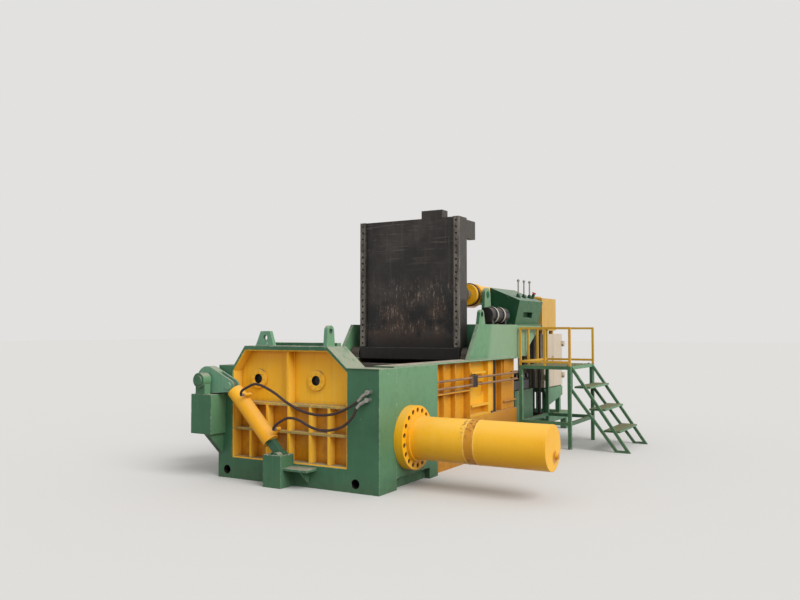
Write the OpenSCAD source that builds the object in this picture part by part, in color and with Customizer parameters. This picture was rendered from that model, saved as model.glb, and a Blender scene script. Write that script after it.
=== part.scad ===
// Turn-out scrap baling press with a folding lid, a side main ram and a rear feed ram.
// X runs along the front face, Y towards the rear, Z up. The origin lies under the front frame.

/* [Press body] */
// Overall width of the press across its side walls
body_w = 1830; // [1780:10:1900]
// Height of the side walls above the ground
body_h = 1080; // [1070:10:1110]
// Clear width of the press box between its inner walls
box_w = 1350; // [1320:10:1380]
// Front-to-back depth of the front frame
frame_d = 300; // [280:5:320]
// Length of the side walls behind the front frame
wall_len = 3040; // [3020:10:3120]
// Height of the box floor above the ground
floor_z = 205; // [190:5:215]
// Thickness of the floor plate
floor_t = 40; // [30:5:60]
// Thickness of the inner wear walls
core_t = 90; // [80:5:100]
// Length of the thick wall section that carries the main cylinder
side_block_l = 795; // [780:5:830]
// Thickness of the ledge plates along the wall tops
ledge_t = 15; // [10:1:20]
// Width of the ledge plates
ledge_w = 210; // [195:5:215]

/* [Front frame] */
// Width of the right-hand front post
right_post_w = 330; // [310:5:350]
// Width of the left-hand front post
left_post_w = 170; // [160:5:190]
// Height of the open bay's lower edge
bay_z = 200; // [180:5:220]
// Depth of the bay between the posts
bay_d = 170; // [150:5:180]
// Thickness of the bay's back plate
bay_plate_t = 50; // [30:5:60]
// Depth of the stiffening ribs in the bay
rib_d = 85; // [70:5:90]
// Thickness of the stiffening ribs
rib_t = 25; // [16:1:32]
// Height of the raised cap above the posts
cap_h = 190; // [150:5:220]
// Radius of the towing holes
tow_r = 40; // [30:1:45]
// Radius of the lifting eyes
eye_r = 28; // [20:1:32]
// Thickness of the lifting lugs
lug_t = 40; // [30:2:50]

/* [Main ram] */
// Width of the main ram along the press
ram_w = 460; // [440:5:470]
// Height of the main ram and of the feed ram
ram_h = 465; // [450:5:470]
// Thickness of the main ram block
ram_t = 175; // [165:1:178]
// Running gap round the ram blocks
ram_gap = 5; // [3:1:8]
// Thickness of the plate that closes the ram pocket
end_plate_t = 60; // [50:5:70]
// Radius of the main ram rod
main_rod_r = 130; // [110:5:140]
// Outer radius of the main cylinder tube
main_tube_r = 195; // [190:5:205]
// Bore radius of the main cylinder tube
main_bore_r = 165; // [160:5:170]
// Radius of the main cylinder flange
flange_r = 290; // [280:5:300]
// Thickness of the main cylinder flange
flange_t = 85; // [75:5:95]
// Length of the main cylinder with its flange
main_cyl_l = 1360; // [1340:10:1400]
// Number of flange bolts
bolt_n = 18; // [12:2:24]
// Radius of the flange bolt heads
bolt_r = 19; // [15:1:20]
// Running clearance of a rod in its gland
gland_gap = 0.05; // [0.02:0.01:0.09]

/* [Feed ram] */
// Length of the feed box from the front wall to the ram face
feed_l = 1800; // [1780:10:1830]
// Thickness of the feed ram block
feed_ram_t = 350; // [330:10:370]
// Radius of the feed ram rod
feed_rod_r = 110; // [100:5:120]
// Outer radius of the feed cylinder tube
feed_tube_r = 170; // [165:5:180]
// Length of the feed cylinder tube
feed_cyl_l = 1400; // [1390:10:1450]
// Thickness of the bulkhead that carries the feed cylinder
bulkhead_t = 60; // [50:5:80]

/* [Lid] */
// Distance of the lid hinge behind the front wall
hinge_back = 1900; // [1890:5:1920]
// Height of the lid hinge above the ledge
hinge_rise = 50; // [50:1:60]
// Length of the lid from its hinge to its edge
lid_len = 1555; // [1500:5:1580]
// Side gap between the lid and the inner walls
lid_gap = 20; // [15:1:30]
// Thickness of the lid with its blades
lid_t = 210; // [190:5:220]
// Width of the lid blades
blade_w = 72; // [60:2:90]
// Thickness of the lid blades
blade_t = 30; // [25:1:35]
// Radius of the lid hinge shaft
hinge_r = 40; // [36:1:42]
// Distance of each lid cylinder from the centre plane
lid_cyl_x = 315; // [310:5:320]
// Outer radius of the lid cylinder barrels
lid_tube_r = 120; // [115:1:122]
// Radius of the lid cylinder rods
lid_rod_r = 60; // [55:1:62]
// Distance of the lid rod pin behind the hinge
pin_back = 600; // [590:5:610]
// Height of the lid rod pin above the hinge
pin_rise = 715; // [700:5:730]
// Distance from the barrel trunnion to the rod pin when the lid is open
lid_link = 450; // [440:5:460]
// Length of the lid cylinder barrels
lid_barrel_l = 1540; // [1530:10:1600]

/* [Turn-out door] */
// Height of the turn-out shaft above the ground
turn_z = 940; // [935:1:945]
// Radius of the turn-out shaft
turn_r = 45; // [42:1:46]
// Distance of the turn-out shaft from the left side face
turn_out = 55; // [55:1:60]
// Angle through which the turn-out door swings
turn_swing = 75; // [70:1:76]
// Horizontal reach of the crank pin at rest
crank_x = 273; // [268:1:278]
// Drop of the crank pin below the shaft at rest
crank_drop = 50; // [46:1:54]
// Thickness of the turn-out crank
crank_t = 90; // [86:1:94]
// Outer radius of the turn-out cylinder barrel
turn_tube_r = 76; // [74:1:81]
// Radius of the turn-out cylinder rod
turn_rod_r = 25; // [22:1:26]
// Thickness of the turn-out door
door_t = 60; // [50:1:64]

/* [Rear deck and console] */
// Thickness of the rear housing plates
plate_t = 40; // [30:2:42]
// Height of the rear housing above the wall ledges
housing_h = 390; // [380:5:400]
// Length of the rear housing at its foot
housing_l = 1750; // [1740:10:1780]
// Length of the control console
console_l = 830; // [800:5:850]
// Height of the lever rods above their pivots
lever_h = 180; // [150:5:200]
// Radius of the lever rods
lever_r = 9; // [7:1:11]

/* [Operator platform] */
// Height of the platform deck above the ground
deck_z = 985; // [960:5:1010]
// Width of the platform from the press outwards
deck_w = 650; // [640:5:700]
// Length of the platform along the press
deck_l = 990; // [980:5:995]
// Height of the hand rail above the deck
rail_h = 470; // [440:5:900]
// Half the width of the square hand rail tube
rail_r = 13; // [11:1:17]
// Width of the square legs
leg_w = 40; // [36:1:50]

/* [Power unit] */
// Height of the electric cabinet
cabinet_h = 725; // [700:5:740]
// Width of the electric cabinet along the press
cabinet_w = 780; // [760:5:820]
// Depth of the electric cabinet
cabinet_d = 350; // [330:5:370]
// Height of the underside of the electric cabinet
cabinet_z = 640; // [630:5:660]
// Thickness of the cabinet sheet
sheet_t = 15; // [10:1:20]
// Height of the skid beams' upper face
skid_z = 255; // [240:5:270]
// Height of the oil tank
tank_h = 405; // [380:5:420]
// Radius of the electric motor
motor_r = 150; // [130:5:155]

/* [Hidden] */
$fn = 48;

green = [0.30, 0.47, 0.37];
yellow = [0.86, 0.63, 0.16];
dark = [0.18, 0.17, 0.16];
steel = [0.55, 0.55, 0.54];
beige = [0.78, 0.73, 0.65];
tan_yellow = [0.78, 0.66, 0.36];
black = [0.08, 0.08, 0.08];

half_w = body_w / 2;
in_x = box_w / 2;
wall_t = half_w - in_x;
foot_l = 218;
front_y = -foot_l / 2;
box_y = front_y + frame_d;
wall_end = box_y + wall_len;
block_end = box_y + side_block_l;
top_z = body_h + ledge_t;
bay_l = -half_w + left_post_w;
bay_r = half_w - right_post_w;
roof_z = body_h + cap_h;
roof_t = 35;
rim_t = 12;
// The bay from its sill up to the sloped roof, seen from the front
bay_outline = [[bay_l, bay_z], [bay_r, bay_z], [bay_r, body_h - roof_t],
  [bay_r - 220, roof_z - roof_t], [bay_l + 150, roof_z - roof_t], [bay_l, body_h - 50]];
bay_face = front_y + bay_d - bay_plate_t;

pocket_l = ram_w + 2 * ram_gap;
pocket_z = floor_z + ram_h + 2 * ram_gap;
cyl_y = box_y + pocket_l / 2;
cyl_z = floor_z + ram_gap + ram_h / 2;
main_stroke = 850;
piston_t = 100;

boss_x = [-504, 174];
boss_z = 955;
boss_hole_r = 43;
feed_face = box_y + feed_l;
feed_back = feed_face + feed_ram_t;
bulkhead_y = feed_back + 150;
feed_stroke = feed_cyl_l - 100;
feed_flange_r = feed_tube_r + 65;

hinge_y = box_y + hinge_back;
hinge_z = top_z + hinge_rise;
knuckle_r = 80;
lid_half = in_x - lid_gap;
lid_front = hinge_y - knuckle_r;
lid_back = lid_front + lid_t;
pin_y = hinge_y + pin_back;
pin_z = hinge_z + pin_rise;
trunnion_y = pin_y + lid_link;
barrel_lead = 190;
barrel_front = trunnion_y - barrel_lead;
trunnion_r = 45;
lid_stroke = sqrt(pow(trunnion_y - hinge_y + pin_rise, 2) + pow(pin_z - hinge_z - pin_back, 2))
  - lid_link;

wing_x = in_x + 140;
wing_y = wall_end - housing_l + 340;
housing_end = wing_y + housing_l;
deck_top = top_z + housing_h;
deck_plate_t = 30;
console_y = housing_end - 300;
console_in = 485;
console_x = half_w - 30;
console_lo = 305;
console_hi = 472;

shaft_x = -half_w - turn_out;
crank_y = front_y - 20 - crank_t;
plane_y = crank_y + crank_t / 2;
pin_x = shaft_x + crank_x;
crank_pin_z = turn_z - crank_drop;
crank_hub_r = 130;
crank_tip_r = 60;
slot_w = 2 * turn_rod_r + 6;
foot_x = -85;
foot_z = 270;
turn_dx = pin_x - foot_x;
turn_dz = crank_pin_z - foot_z;
turn_link = sqrt(turn_dx * turn_dx + turn_dz * turn_dz);
turn_lean = atan2(turn_dx, turn_dz);
turn_barrel_a = 178;
turn_barrel_b = turn_link - 63;
foot_pin_r = 30;
port_b = turn_link - 211;
port_a = 200;
port_n = 110;
port_low_n = 150;
pedestal_w = 255;
pedestal_d = 200;
pedestal_lo = 430;
pedestal_hi = turn_z - 135;
bearing_t = 100;
bearing_r = 70;

rail_x = half_w - 30;
deck_y = wall_end;
deck_end = deck_y + deck_l;
deck_out = rail_x + deck_w;
cabinet_x = half_w - 70;
cabinet_y = deck_y + 1000;
cabinet_top = cabinet_z + cabinet_h;
door_gap = 3;
door_sheet = 18;
door_axis_x = cabinet_x + 28;
door_pin_r = 6;
tank_w = 550;
tank_l = 630;
tank_y = wall_end + 30;
tank_x = 265;
skid_x = cabinet_x;
skid_l = 2060;
pipe_r = 12;
pipe_x = half_w - 20;
pipe_z = [905, 830];
hose_r = 12;

hose_upper_route = [[-470, -262.3, 817], [-468, -298, 822], [-440, -319, 858], [-374, -324, 893],
  [-282, -326, 927], [-192, -319, 911], [-78, -289, 851], [34, -262, 772], [161, -239, 708],
  [285, -219, 676], [407, -199, 671], [520, -189, 692], [625, -169, 738], [720, -159, 796],
  [771, -149, 851]];
hose_lower_route = [[-119, -224.3, 518], [-116, -258, 522], [-80, -279, 558], [4, -284, 610],
  [82, -289, 637], [177, -279, 626], [254, -259, 586], [339, -249, 553], [444, -229, 542],
  [549, -209, 562], [624, -189, 601], [690, -179, 670], [719, -169, 737], [749, -159, 779]];
fitting_upper = [828, -143, 884];
fitting_lower = [821, -143, 817];

// A block given by its low and high corners
module block(lo, hi) {
  translate(lo) cube(hi - lo);
}

// A profile in the Y-Z plane, made t thick along X from x
module plate_yz(x, t, points) {
  translate([x, 0, 0]) rotate([90, 0, 90]) linear_extrude(t) polygon(points);
}

// A profile in the X-Z plane, made t thick along Y from y
module plate_xz(y, t, points) {
  translate([0, y + t, 0]) rotate([90, 0, 0]) linear_extrude(t) polygon(points);
}

// A round bar along X
module bar_x(x, y, z, r, l) {
  translate([x, y, z]) rotate([0, 90, 0]) cylinder(r = r, h = l);
}

// A round bar along Y
module bar_y(x, y, z, r, l) {
  translate([x, y, z]) rotate([-90, 0, 0]) cylinder(r = r, h = l);
}

// Outline of the belt round two circles, as its four tangent points
function belt(a, ra, b, rb) =
  let (d = b - a, p = atan2(d[1], d[0]), q = acos((ra - rb) / norm(d)))
  [a + ra * [cos(p + q), sin(p + q)], b + rb * [cos(p + q), sin(p + q)],
    b + rb * [cos(p - q), sin(p - q)], a + ra * [cos(p - q), sin(p - q)]];

// A flat link with two round ends
module link(a, ra, b, rb) {
  translate(a) circle(r = ra);
  translate(b) circle(r = rb);
  polygon(belt(a, ra, b, rb));
}

// Extrudes a drawing of the X-Z plane t thick along Y from y
module slab_xz(y, t) {
  translate([0, y + t, 0]) rotate([90, 0, 0]) linear_extrude(t) children();
}

// Extrudes a drawing of the Y-Z plane t thick along X from x
module slab_yz(x, t) {
  translate([x, 0, 0]) rotate([90, 0, 90]) linear_extrude(t) children();
}

module mirrored() {
  children();
  mirror([1, 0, 0]) children();
}

module front_frame() {
  color(green) {
    difference() {
      union() {
        block([-half_w, front_y, 0], [half_w, box_y, body_h]);
        plate_xz(front_y, frame_d, [[bay_l - 20, body_h - 50], [bay_l + 150, roof_z],
          [bay_r - 220, roof_z], [bay_r - 4, body_h], [bay_r - 4, body_h - 50]]);
      }
      plate_xz(front_y - 1, bay_d + 1, bay_outline);
      for (x = [-half_w + 113, half_w - 242]) bar_y(x, front_y - 1, 80, tow_r, 121);
    }
    block([bay_l + 310, box_y - 66, roof_z], [bay_r - 270, box_y, roof_z + 30]);
  }
}

module front_bay() {
  bay_x = [-558, -358, -104, 142, 350];
  low = [465, 715];
  color(yellow) {
    plate_xz(bay_face, bay_plate_t, bay_outline);
    slab_xz(front_y + 8, bay_face - front_y - 8) difference() {
      polygon(bay_outline);
      offset(delta = -rim_t) polygon(bay_outline);
    }
    for (x = bay_x) block([x, bay_face - rib_d, bay_z], [x + rib_t, bay_face, low[1]]);
    for (z = low) block([bay_l, bay_face - rib_d, z], [bay_r, bay_face, z + rib_t]);
    block([-116, bay_face - rib_d, low[1]], [-116 + rib_t, bay_face, roof_z - roof_t]);
    for (x = boss_x) pivot_boss(x, boss_z);
  }
}

// A ringed boss with eight bolt heads on the bay's back plate
module pivot_boss(x, z) {
  difference() {
    bar_y(x, bay_face - 24, z, 92, 24);
    bar_y(x, bay_face - 25, z, boss_hole_r, 26);
  }
  for (a = [0:45:315]) bar_y(x + 68 * cos(a), bay_face - 31, z + 68 * sin(a), 9, 7);
}

module lifting_lugs() {
  cap_z = roof_z;
  color(green) {
    slab_xz(front_y + 80, lug_t) difference() {
      polygon([[-526, cap_z], [-306, cap_z], [-355, cap_z + 140], [-466, cap_z + 140]]);
      translate([-412, cap_z + 76]) circle(r = eye_r);
    }
    slab_yz(295, lug_t) difference() {
      union() {
        polygon([[-66, cap_z], [60, cap_z], [48, cap_z + 140], [-54, cap_z + 140]]);
        translate([-3, cap_z + 140]) circle(r = 51);
      }
      translate([-3, cap_z + 135]) circle(r = eye_r);
    }
  }
}

module right_frame() {
  color(green) difference() {
    block([in_x, box_y, 0], [half_w, block_end, body_h]);
    block([in_x - 1, box_y - 1, floor_z], [half_w - end_plate_t, box_y + pocket_l, pocket_z]);
    bar_x(half_w - end_plate_t - 1, cyl_y, cyl_z, main_rod_r + gland_gap, end_plate_t + 2);
    block([half_w - end_plate_t, front_y + foot_l, -1], [half_w + 1, block_end - 168, 105]);
  }
}

module left_frame() {
  arm_y = [box_y + 20, box_y + 380];
  color(green) difference() {
    block([-half_w, box_y, 0], [-in_x, block_end, body_h]);
    block([-half_w - 1, box_y - 1, floor_z - floor_t], [-in_x + 1, box_y + pocket_l, pocket_z + 10]);
    for (y = arm_y) {
      block([-half_w - 1, y, turn_z - 90], [-half_w + 27, y + 60, turn_z + 90]);
    }
  }
}

// One long side wall: wear plate, lower beam, ribbed panels and ledge stiffeners
module side_wall() {
  core_x = in_x + core_t;
  outer_x = half_w - 40;
  panel_x = outer_x - 70;
  web_t = 14;
  beam_z = 470;
  mid_y = block_end + 845;
  end_y = wall_end - 384;
  block([in_x, block_end, 0], [core_x, wall_end, body_h]);
  block([core_x, block_end, 0], [outer_x - 25, wall_end, beam_z]);
  block([core_x, block_end, beam_z], [panel_x, mid_y, body_h]);
  block([panel_x, block_end, 765], [outer_x, mid_y, 765 + web_t]);
  for (y = [block_end + 250, block_end + 515]) {
    block([panel_x, y, beam_z], [outer_x - 20, y + web_t, body_h]);
  }
  block([panel_x, mid_y - web_t, beam_z], [outer_x, mid_y, body_h]);
  plate_yz(panel_x, 2 * web_t, [[block_end, body_h - 20], [block_end + 170, body_h - 20],
    [block_end, body_h - 190]]);
  difference() {
    block([core_x, mid_y, 600], [core_x + 30, mid_y + 531, body_h]);
    hull() for (y = [mid_y + 380, mid_y + 465]) bar_x(core_x - 1, y, 764, 76, 32);
  }
  block([core_x, mid_y + 90, 935], [core_x + 85, mid_y + 470, 935 + rib_t]);
  block([core_x, mid_y, beam_z], [core_x + 85, mid_y + 600, beam_z + rib_t]);
  block([core_x, mid_y + 100, 600 - rib_t], [core_x + 85, mid_y + 660, 600]);
  block([core_x, mid_y + 531, beam_z + rib_t], [core_x + 85, mid_y + 676, body_h]);
  block([core_x, end_y - 40, beam_z], [core_x + 60, end_y, body_h]);
  block([core_x, end_y, beam_z], [wing_x, wall_end, body_h]);
  block([wing_x, end_y, 565], [wing_x + 30, wall_end, 565 + web_t]);
  plate_yz(wing_x, 2 * web_t, [[end_y, body_h], [end_y + 190, body_h], [end_y, body_h - 190]]);
}

module right_wall() {
  color(yellow) side_wall();
}

module left_wall() {
  color(yellow) mirror([1, 0, 0]) side_wall();
}

module wall_ledges() {
  color(green) mirrored() block([in_x, box_y, body_h], [in_x + ledge_w, wall_end, top_z]);
}

module floor_base() {
  color(green) {
    block([-in_x, box_y, floor_z - floor_t], [in_x, wall_end, floor_z]);
    block([-in_x, box_y, 0], [in_x, wall_end - 80, floor_z - floor_t]);
  }
}

module shear_beam() {
  color(dark) plate_yz(-in_x, box_w, [[box_y, 700], [box_y + 400, 700], [box_y + 450, 740],
    [box_y + 450, body_h - 50], [box_y, body_h - 50]]);
}

module rear_bulkheads() {
  rear_y = bulkhead_y + bulkhead_t;
  cradle_y = rear_y + 60 + 0.78 * feed_cyl_l;
  color(dark) {
    block([-in_x, feed_face, pocket_z + 10], [in_x, feed_face + bulkhead_t, body_h - 50]);
    difference() {
      block([-in_x, bulkhead_y, floor_z], [in_x, rear_y, body_h]);
      bar_y(0, bulkhead_y - 1, cyl_z, feed_rod_r + gland_gap, bulkhead_t + 2);
    }
    difference() {
      block([-200, cradle_y, 0], [200, cradle_y + 80, cyl_z]);
      bar_y(0, cradle_y - 1, cyl_z, feed_tube_r, 82);
    }
  }
}

module rear_housing() {
  shell_y = lid_back + 90;
  slope = 290;
  color(green) {
    mirrored() {
      plate_yz(wing_x, plate_t, [[wing_y, top_z], [wing_y + slope, deck_top],
        [housing_end, deck_top], [housing_end, top_z]]);
    }
    block([-wing_x, shell_y, deck_top - deck_plate_t], [wing_x, housing_end, deck_top]);
    for (y = [shell_y, housing_end - deck_plate_t]) {
      block([-wing_x, y, top_z], [wing_x, y + deck_plate_t, deck_top - deck_plate_t]);
    }
    block([console_in - 30, housing_end, deck_top - deck_plate_t],
      [wing_x + plate_t, console_y + console_l, deck_top]);
    for (x = [console_in - 30, wing_x]) {
      plate_yz(x, plate_t, [[housing_end, deck_top - deck_plate_t], [housing_end, top_z + 60],
        [console_y + console_l - 60, deck_top - deck_plate_t]]);
    }
  }
}

module rear_lugs() {
  lug_y = hinge_y + 370;
  color(green) for (x = [wing_x - 120, -wing_x + 120 - lug_t]) {
    slab_yz(x, lug_t) difference() {
      union() {
        polygon([[lug_y - 90, deck_top], [lug_y + 90, deck_top], [lug_y + 60, deck_top + 112],
          [lug_y - 60, deck_top + 112]]);
        translate([lug_y, deck_top + 112]) circle(r = 60);
      }
      translate([lug_y, deck_top + 112]) circle(r = 35);
    }
  }
}

module hinge_bearings() {
  color(dark) mirrored() difference() {
    union() {
      block([in_x, hinge_y - 100, top_z], [in_x + 120, hinge_y + 100, top_z + 30]);
      block([in_x, hinge_y - 75, top_z], [in_x + 120, hinge_y + 75, hinge_z]);
      bar_x(in_x, hinge_y, hinge_z, 75, 120);
    }
    bar_x(in_x - 1, hinge_y, hinge_z, hinge_r + gland_gap, 122);
    block([in_x - 1, hinge_y - 101, top_z - 60], [in_x + 121, hinge_y + 101, top_z]);
  }
}

module main_cylinder() {
  color(yellow) difference() {
    union() {
      bar_x(half_w, cyl_y, cyl_z, flange_r, flange_t);
      bar_x(half_w, cyl_y, cyl_z, main_tube_r, main_cyl_l);
      bar_x(half_w + flange_t, cyl_y, cyl_z, main_tube_r + 22, 30);
      bar_x(half_w + main_cyl_l, cyl_y + 80, cyl_z - 75, 28, 22);
    }
    bar_x(half_w - 1, cyl_y, cyl_z, main_bore_r, main_cyl_l - 39);
    for (i = [0:bolt_n - 1]) {
      flange_place(i) cylinder(r = bolt_r + 4, h = 42);
    }
  }
}

// Places a child at flange bolt i, with Z out of the flange, at the bolt's seat
module flange_place(i) {
  ring_r = flange_r - bolt_r - 22;
  a = 360 * (i + 0.5) / bolt_n;
  translate([half_w + flange_t - 41, cyl_y + ring_r * cos(a), cyl_z + ring_r * sin(a)])
    rotate([0, 90, 0]) children();
}

module flange_bolts() {
  color(dark) for (i = [0:bolt_n - 1]) {
    flange_place(i) difference() {
      cylinder(r = bolt_r, h = 32);
      translate([0, 0, 18]) cylinder(r = 0.55 * bolt_r, h = 15, $fn = 6);
    }
  }
}

module feed_cylinder() {
  flange_y = bulkhead_y + bulkhead_t;
  color(yellow) difference() {
    union() {
      bar_y(0, flange_y, cyl_z, feed_flange_r, 60);
      bar_y(0, flange_y + 60, cyl_z, feed_tube_r, feed_cyl_l);
    }
    bar_y(0, flange_y - 1, cyl_z, feed_rod_r + gland_gap, 62);
    bar_y(0, flange_y + 60, cyl_z, feed_tube_r - 30, feed_cyl_l - 40);
  }
}

module trunnion_bearings() {
  cheek = 40;
  gap = lid_tube_r + 35;
  color(green) for (c = [-lid_cyl_x, lid_cyl_x], s = [-1, 1]) {
    x = c + s * (gap + cheek / 2) - cheek / 2;
    slab_yz(x, cheek) difference() {
      union() {
        polygon([[trunnion_y - 120, deck_top], [trunnion_y + 120, deck_top],
          [trunnion_y + 85, pin_z], [trunnion_y - 85, pin_z]]);
        translate([trunnion_y, pin_z]) circle(r = 85);
      }
      translate([trunnion_y, pin_z]) circle(r = trunnion_r + gland_gap);
    }
  }
}

module shaft_pedestal() {
  left = shaft_x - 115;
  color(green) {
    block([left, front_y - pedestal_d, pedestal_lo], [left + pedestal_w, front_y, pedestal_hi]);
    for (x = [left + pedestal_w - 2 * rib_t, -half_w]) {
      plate_yz(x, rib_t, [[front_y - pedestal_d, pedestal_lo], [front_y, pedestal_lo],
        [front_y, pedestal_lo - 200]]);
    }
  }
}

module shaft_bearings() {
  front = front_y - pedestal_d - 25;
  rear = box_y + 550;
  color(green) {
    difference() {
      union() {
        bar_y(shaft_x, front, turn_z, bearing_r, bearing_t);
        block([shaft_x - 60, front + 25, pedestal_hi], [shaft_x + 60, front + bearing_t, turn_z]);
      }
      bar_y(shaft_x, front - 1, turn_z, turn_r + gland_gap, bearing_t + 2);
    }
    difference() {
      union() {
        bar_y(shaft_x, rear, turn_z, turn_r + 9, bearing_t);
        block([shaft_x - turn_r - 9, rear, turn_z - 90], [-half_w, rear + bearing_t, turn_z + 90]);
      }
      bar_y(shaft_x, rear - 1, turn_z, turn_r + gland_gap, bearing_t + 2);
    }
  }
}

module pivot_bracket() {
  lo_y = plane_y - 115;
  wall = 20;
  left = foot_x - 125;
  right = foot_x + 78;
  color(green) {
    for (y = [lo_y, front_y - wall]) block([left, y, 0], [right, y + wall, foot_z + 22]);
    for (x = [left, right - wall]) {
      block([x, lo_y + wall, 0], [x + wall, front_y - wall, foot_z + 22]);
    }
    block([right, front_y - 150, 160], [foot_x + 345, front_y, 160 + 20]);
    plate_yz(foot_x + 240, 20, [[front_y - 130, 160], [front_y, 160], [front_y, 30]]);
  }
  color(steel) {
    bar_y(foot_x, lo_y + wall, foot_z, foot_pin_r, front_y - lo_y - 2 * wall);
    bar_y(foot_x, lo_y + wall, foot_z, foot_pin_r + 14, plane_y - 32 - lo_y - wall);
    bar_y(foot_x, plane_y + 32, foot_z, foot_pin_r + 14, front_y - wall - plane_y - 32);
  }
}

module side_pipes() {
  clamp_y = block_end + 824;
  clamp_l = 125;
  end_y = wall_end - 100;
  color(steel) for (z = pipe_z) {
    bar_y(pipe_x, block_end, z, pipe_r, clamp_y - block_end);
    bar_y(pipe_x, clamp_y + clamp_l, z, pipe_r, end_y - clamp_y - clamp_l);
    translate([pipe_x, end_y, z]) sphere(r = pipe_r);
    bar_x(wing_x, end_y, z, pipe_r, pipe_x - wing_x);
  }
  color(black) {
    block([half_w - 40, clamp_y, pipe_z[1] - 25], [pipe_x + 22, clamp_y + clamp_l, pipe_z[0] + 28]);
    for (y = [clamp_y + 32, clamp_y + clamp_l - 32]) {
      translate([pipe_x, y, pipe_z[0] + 28]) cylinder(r = 14, h = 12, $fn = 6);
    }
  }
  color(dark) for (y = [block_end + 1561, block_end + 1650]) {
    translate([in_x + core_t + 30, y, 470]) cylinder(r = 28, h = body_h - 470);
  }
}

// Points on a smooth curve through the route, two for each span
function curve_point(p, i, t) =
  let (n = len(p) - 1, a = p[max(i - 1, 0)], b = p[i], c = p[i + 1], d = p[min(i + 2, n)])
  0.5 * (2 * b + (c - a) * t + (2 * a - 5 * b + 4 * c - d) * t * t
    + (3 * b - a - 3 * c + d) * t * t * t);
function curve(p) =
  [for (i = [0:len(p) - 2], t = [0, 0.5]) curve_point(p, i, t), p[len(p) - 1]];

// A round hose along a smooth route, square to the port at its start and to the line out at its end
module hose(route, r, sides, out) {
  path = curve(route);
  n = len(path);
  rings = [for (i = [0:n - 1])
    let (f = i == 0 ? [0, -1, 0] : i == n - 1 ? out : path[i + 1] - path[i - 1], w = f / norm(f),
      side = cross(w, [0, 0, 1]), u = side / norm(side), v = cross(u, w))
    for (k = [0:sides - 1]) path[i] + r * (cos(360 * k / sides) * u + sin(360 * k / sides) * v)];
  walls = [for (i = [0:n - 2], k = [0:sides - 1])
    let (a = i * sides + k, b = i * sides + (k + 1) % sides)
    for (face = [[a, b + sides, b], [a, a + sides, b + sides]]) face];
  caps = [[for (k = [0:sides - 1]) k], [for (k = [0:sides - 1]) n * sides - 1 - k]];
  polyhedron(rings, concat(walls, caps));
}

module hose_upper() {
  route = hose_upper_route;
  color(black) hose(route, hose_r, 10, fitting_upper - route[len(route) - 1]);
}

module hose_lower() {
  route = hose_lower_route;
  color(black) hose(route, hose_r, 10, fitting_lower - route[len(route) - 1]);
}

// An elbow on the front post, from its boss at p to the hose end q
module post_elbow(p, q) {
  d = q - p;
  l = norm(d);
  bar_y(p[0], front_y - 60, p[2], 21, 60);
  translate(p) rotate([0, acos(d[2] / l), atan2(d[1], d[0])]) cylinder(r = 16, h = l - 0.3);
}

module hose_fittings() {
  color(steel) {
    post_elbow(fitting_upper, hose_upper_route[len(hose_upper_route) - 1]);
    post_elbow(fitting_lower, hose_lower_route[len(hose_lower_route) - 1]);
  }
}

module valve_body() {
  y = trunnion_y - 520;
  x = wing_x - 100;
  r = 88;
  axis_z = deck_top + 115;
  color(black) {
    bar_y(x, y, axis_z, r, 520);
    for (s = [40, 430]) {
      block([x - 60, y + s, deck_top], [x + 60, y + s + 50, axis_z]);
    }
  }
  color(steel) for (s = [120, 330]) bar_y(x, y + s, axis_z, r + 12, 40);
}

module console() {
  color(green) difference() {
    union() {
      plate_xz(console_y, console_l, [[wing_x, deck_top], [console_x, deck_top + console_lo],
        [console_in, deck_top + console_hi], [console_in, deck_top]]);
      on_console_top() translate([0, 0, -collar_h - 10]) cylinder(r = 21, h = collar_h + 10);
    }
    on_console_side() block([-1, 210, 90], [60, console_l - 300, 165]);
    on_console_top() translate([0, 0, -stem_l]) cylinder(r = stem_r + gland_gap, h = stem_l + 1);
  }
  color(green) for (y = lever_y) lever_fork(y);
}

// Places a child on the console's outer face, with X inwards and Z up the face
module on_console_side() {
  lean = atan2(console_x - wing_x, console_lo);
  translate([wing_x, console_y, deck_top]) rotate([0, lean, 0]) mirror([1, 0, 0]) children();
}

lever_y = [for (i = [0:2]) console_y + 220 + 200 * i];
lever_x = console_x - 107;
lever_z = deck_top + console_lo
  + (console_hi - console_lo) * (console_x - lever_x) / (console_x - console_in) + 34;

// Two ears and a pin that carry one lever
module lever_fork(y) {
  for (s = [-1, 1]) {
    slab_xz(y + s * 17 - 5, 10) {
      translate([lever_x, lever_z]) circle(r = 15);
      polygon([[lever_x - 15, lever_z], [lever_x + 15, lever_z], [lever_x + 24, lever_z - 44],
        [lever_x - 24, lever_z - 25]]);
    }
  }
  bar_y(lever_x, y - 12, lever_z, 6, 24);
}

module lever(i) {
  y = lever_y[i];
  color(steel) {
    difference() {
      bar_y(lever_x, y - 10, lever_z, 14, 20);
      bar_y(lever_x, y - 11, lever_z, 6 + gland_gap, 22);
    }
    translate([lever_x, y, lever_z + 12]) cylinder(r = lever_r, h = lever_h - 12);
  }
  color(black) translate([lever_x, y, lever_z + lever_h]) sphere(r = 2 * lever_r);
}

// Places a child at the top of the stop button's collar, with Z square to the console's top
module on_console_top() {
  back = 107;
  z = deck_top + console_lo + (console_hi - console_lo) * back / (console_x - console_in);
  lean = atan2(console_hi - console_lo, console_x - console_in);
  translate([console_x - back, console_y + 715, z]) rotate([0, lean, 0])
    translate([0, 0, collar_h]) children();
}

stem_r = 14;
stem_l = 24;
collar_h = 60;
button_travel = 8;

module stop_button() {
  color("red") on_console_top() {
    translate([0, 0, button_travel + 0.3 - stem_l]) cylinder(r = stem_r, h = stem_l);
    translate([0, 0, button_travel + 0.3]) cylinder(r = 26, h = 16);
  }
}

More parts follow.
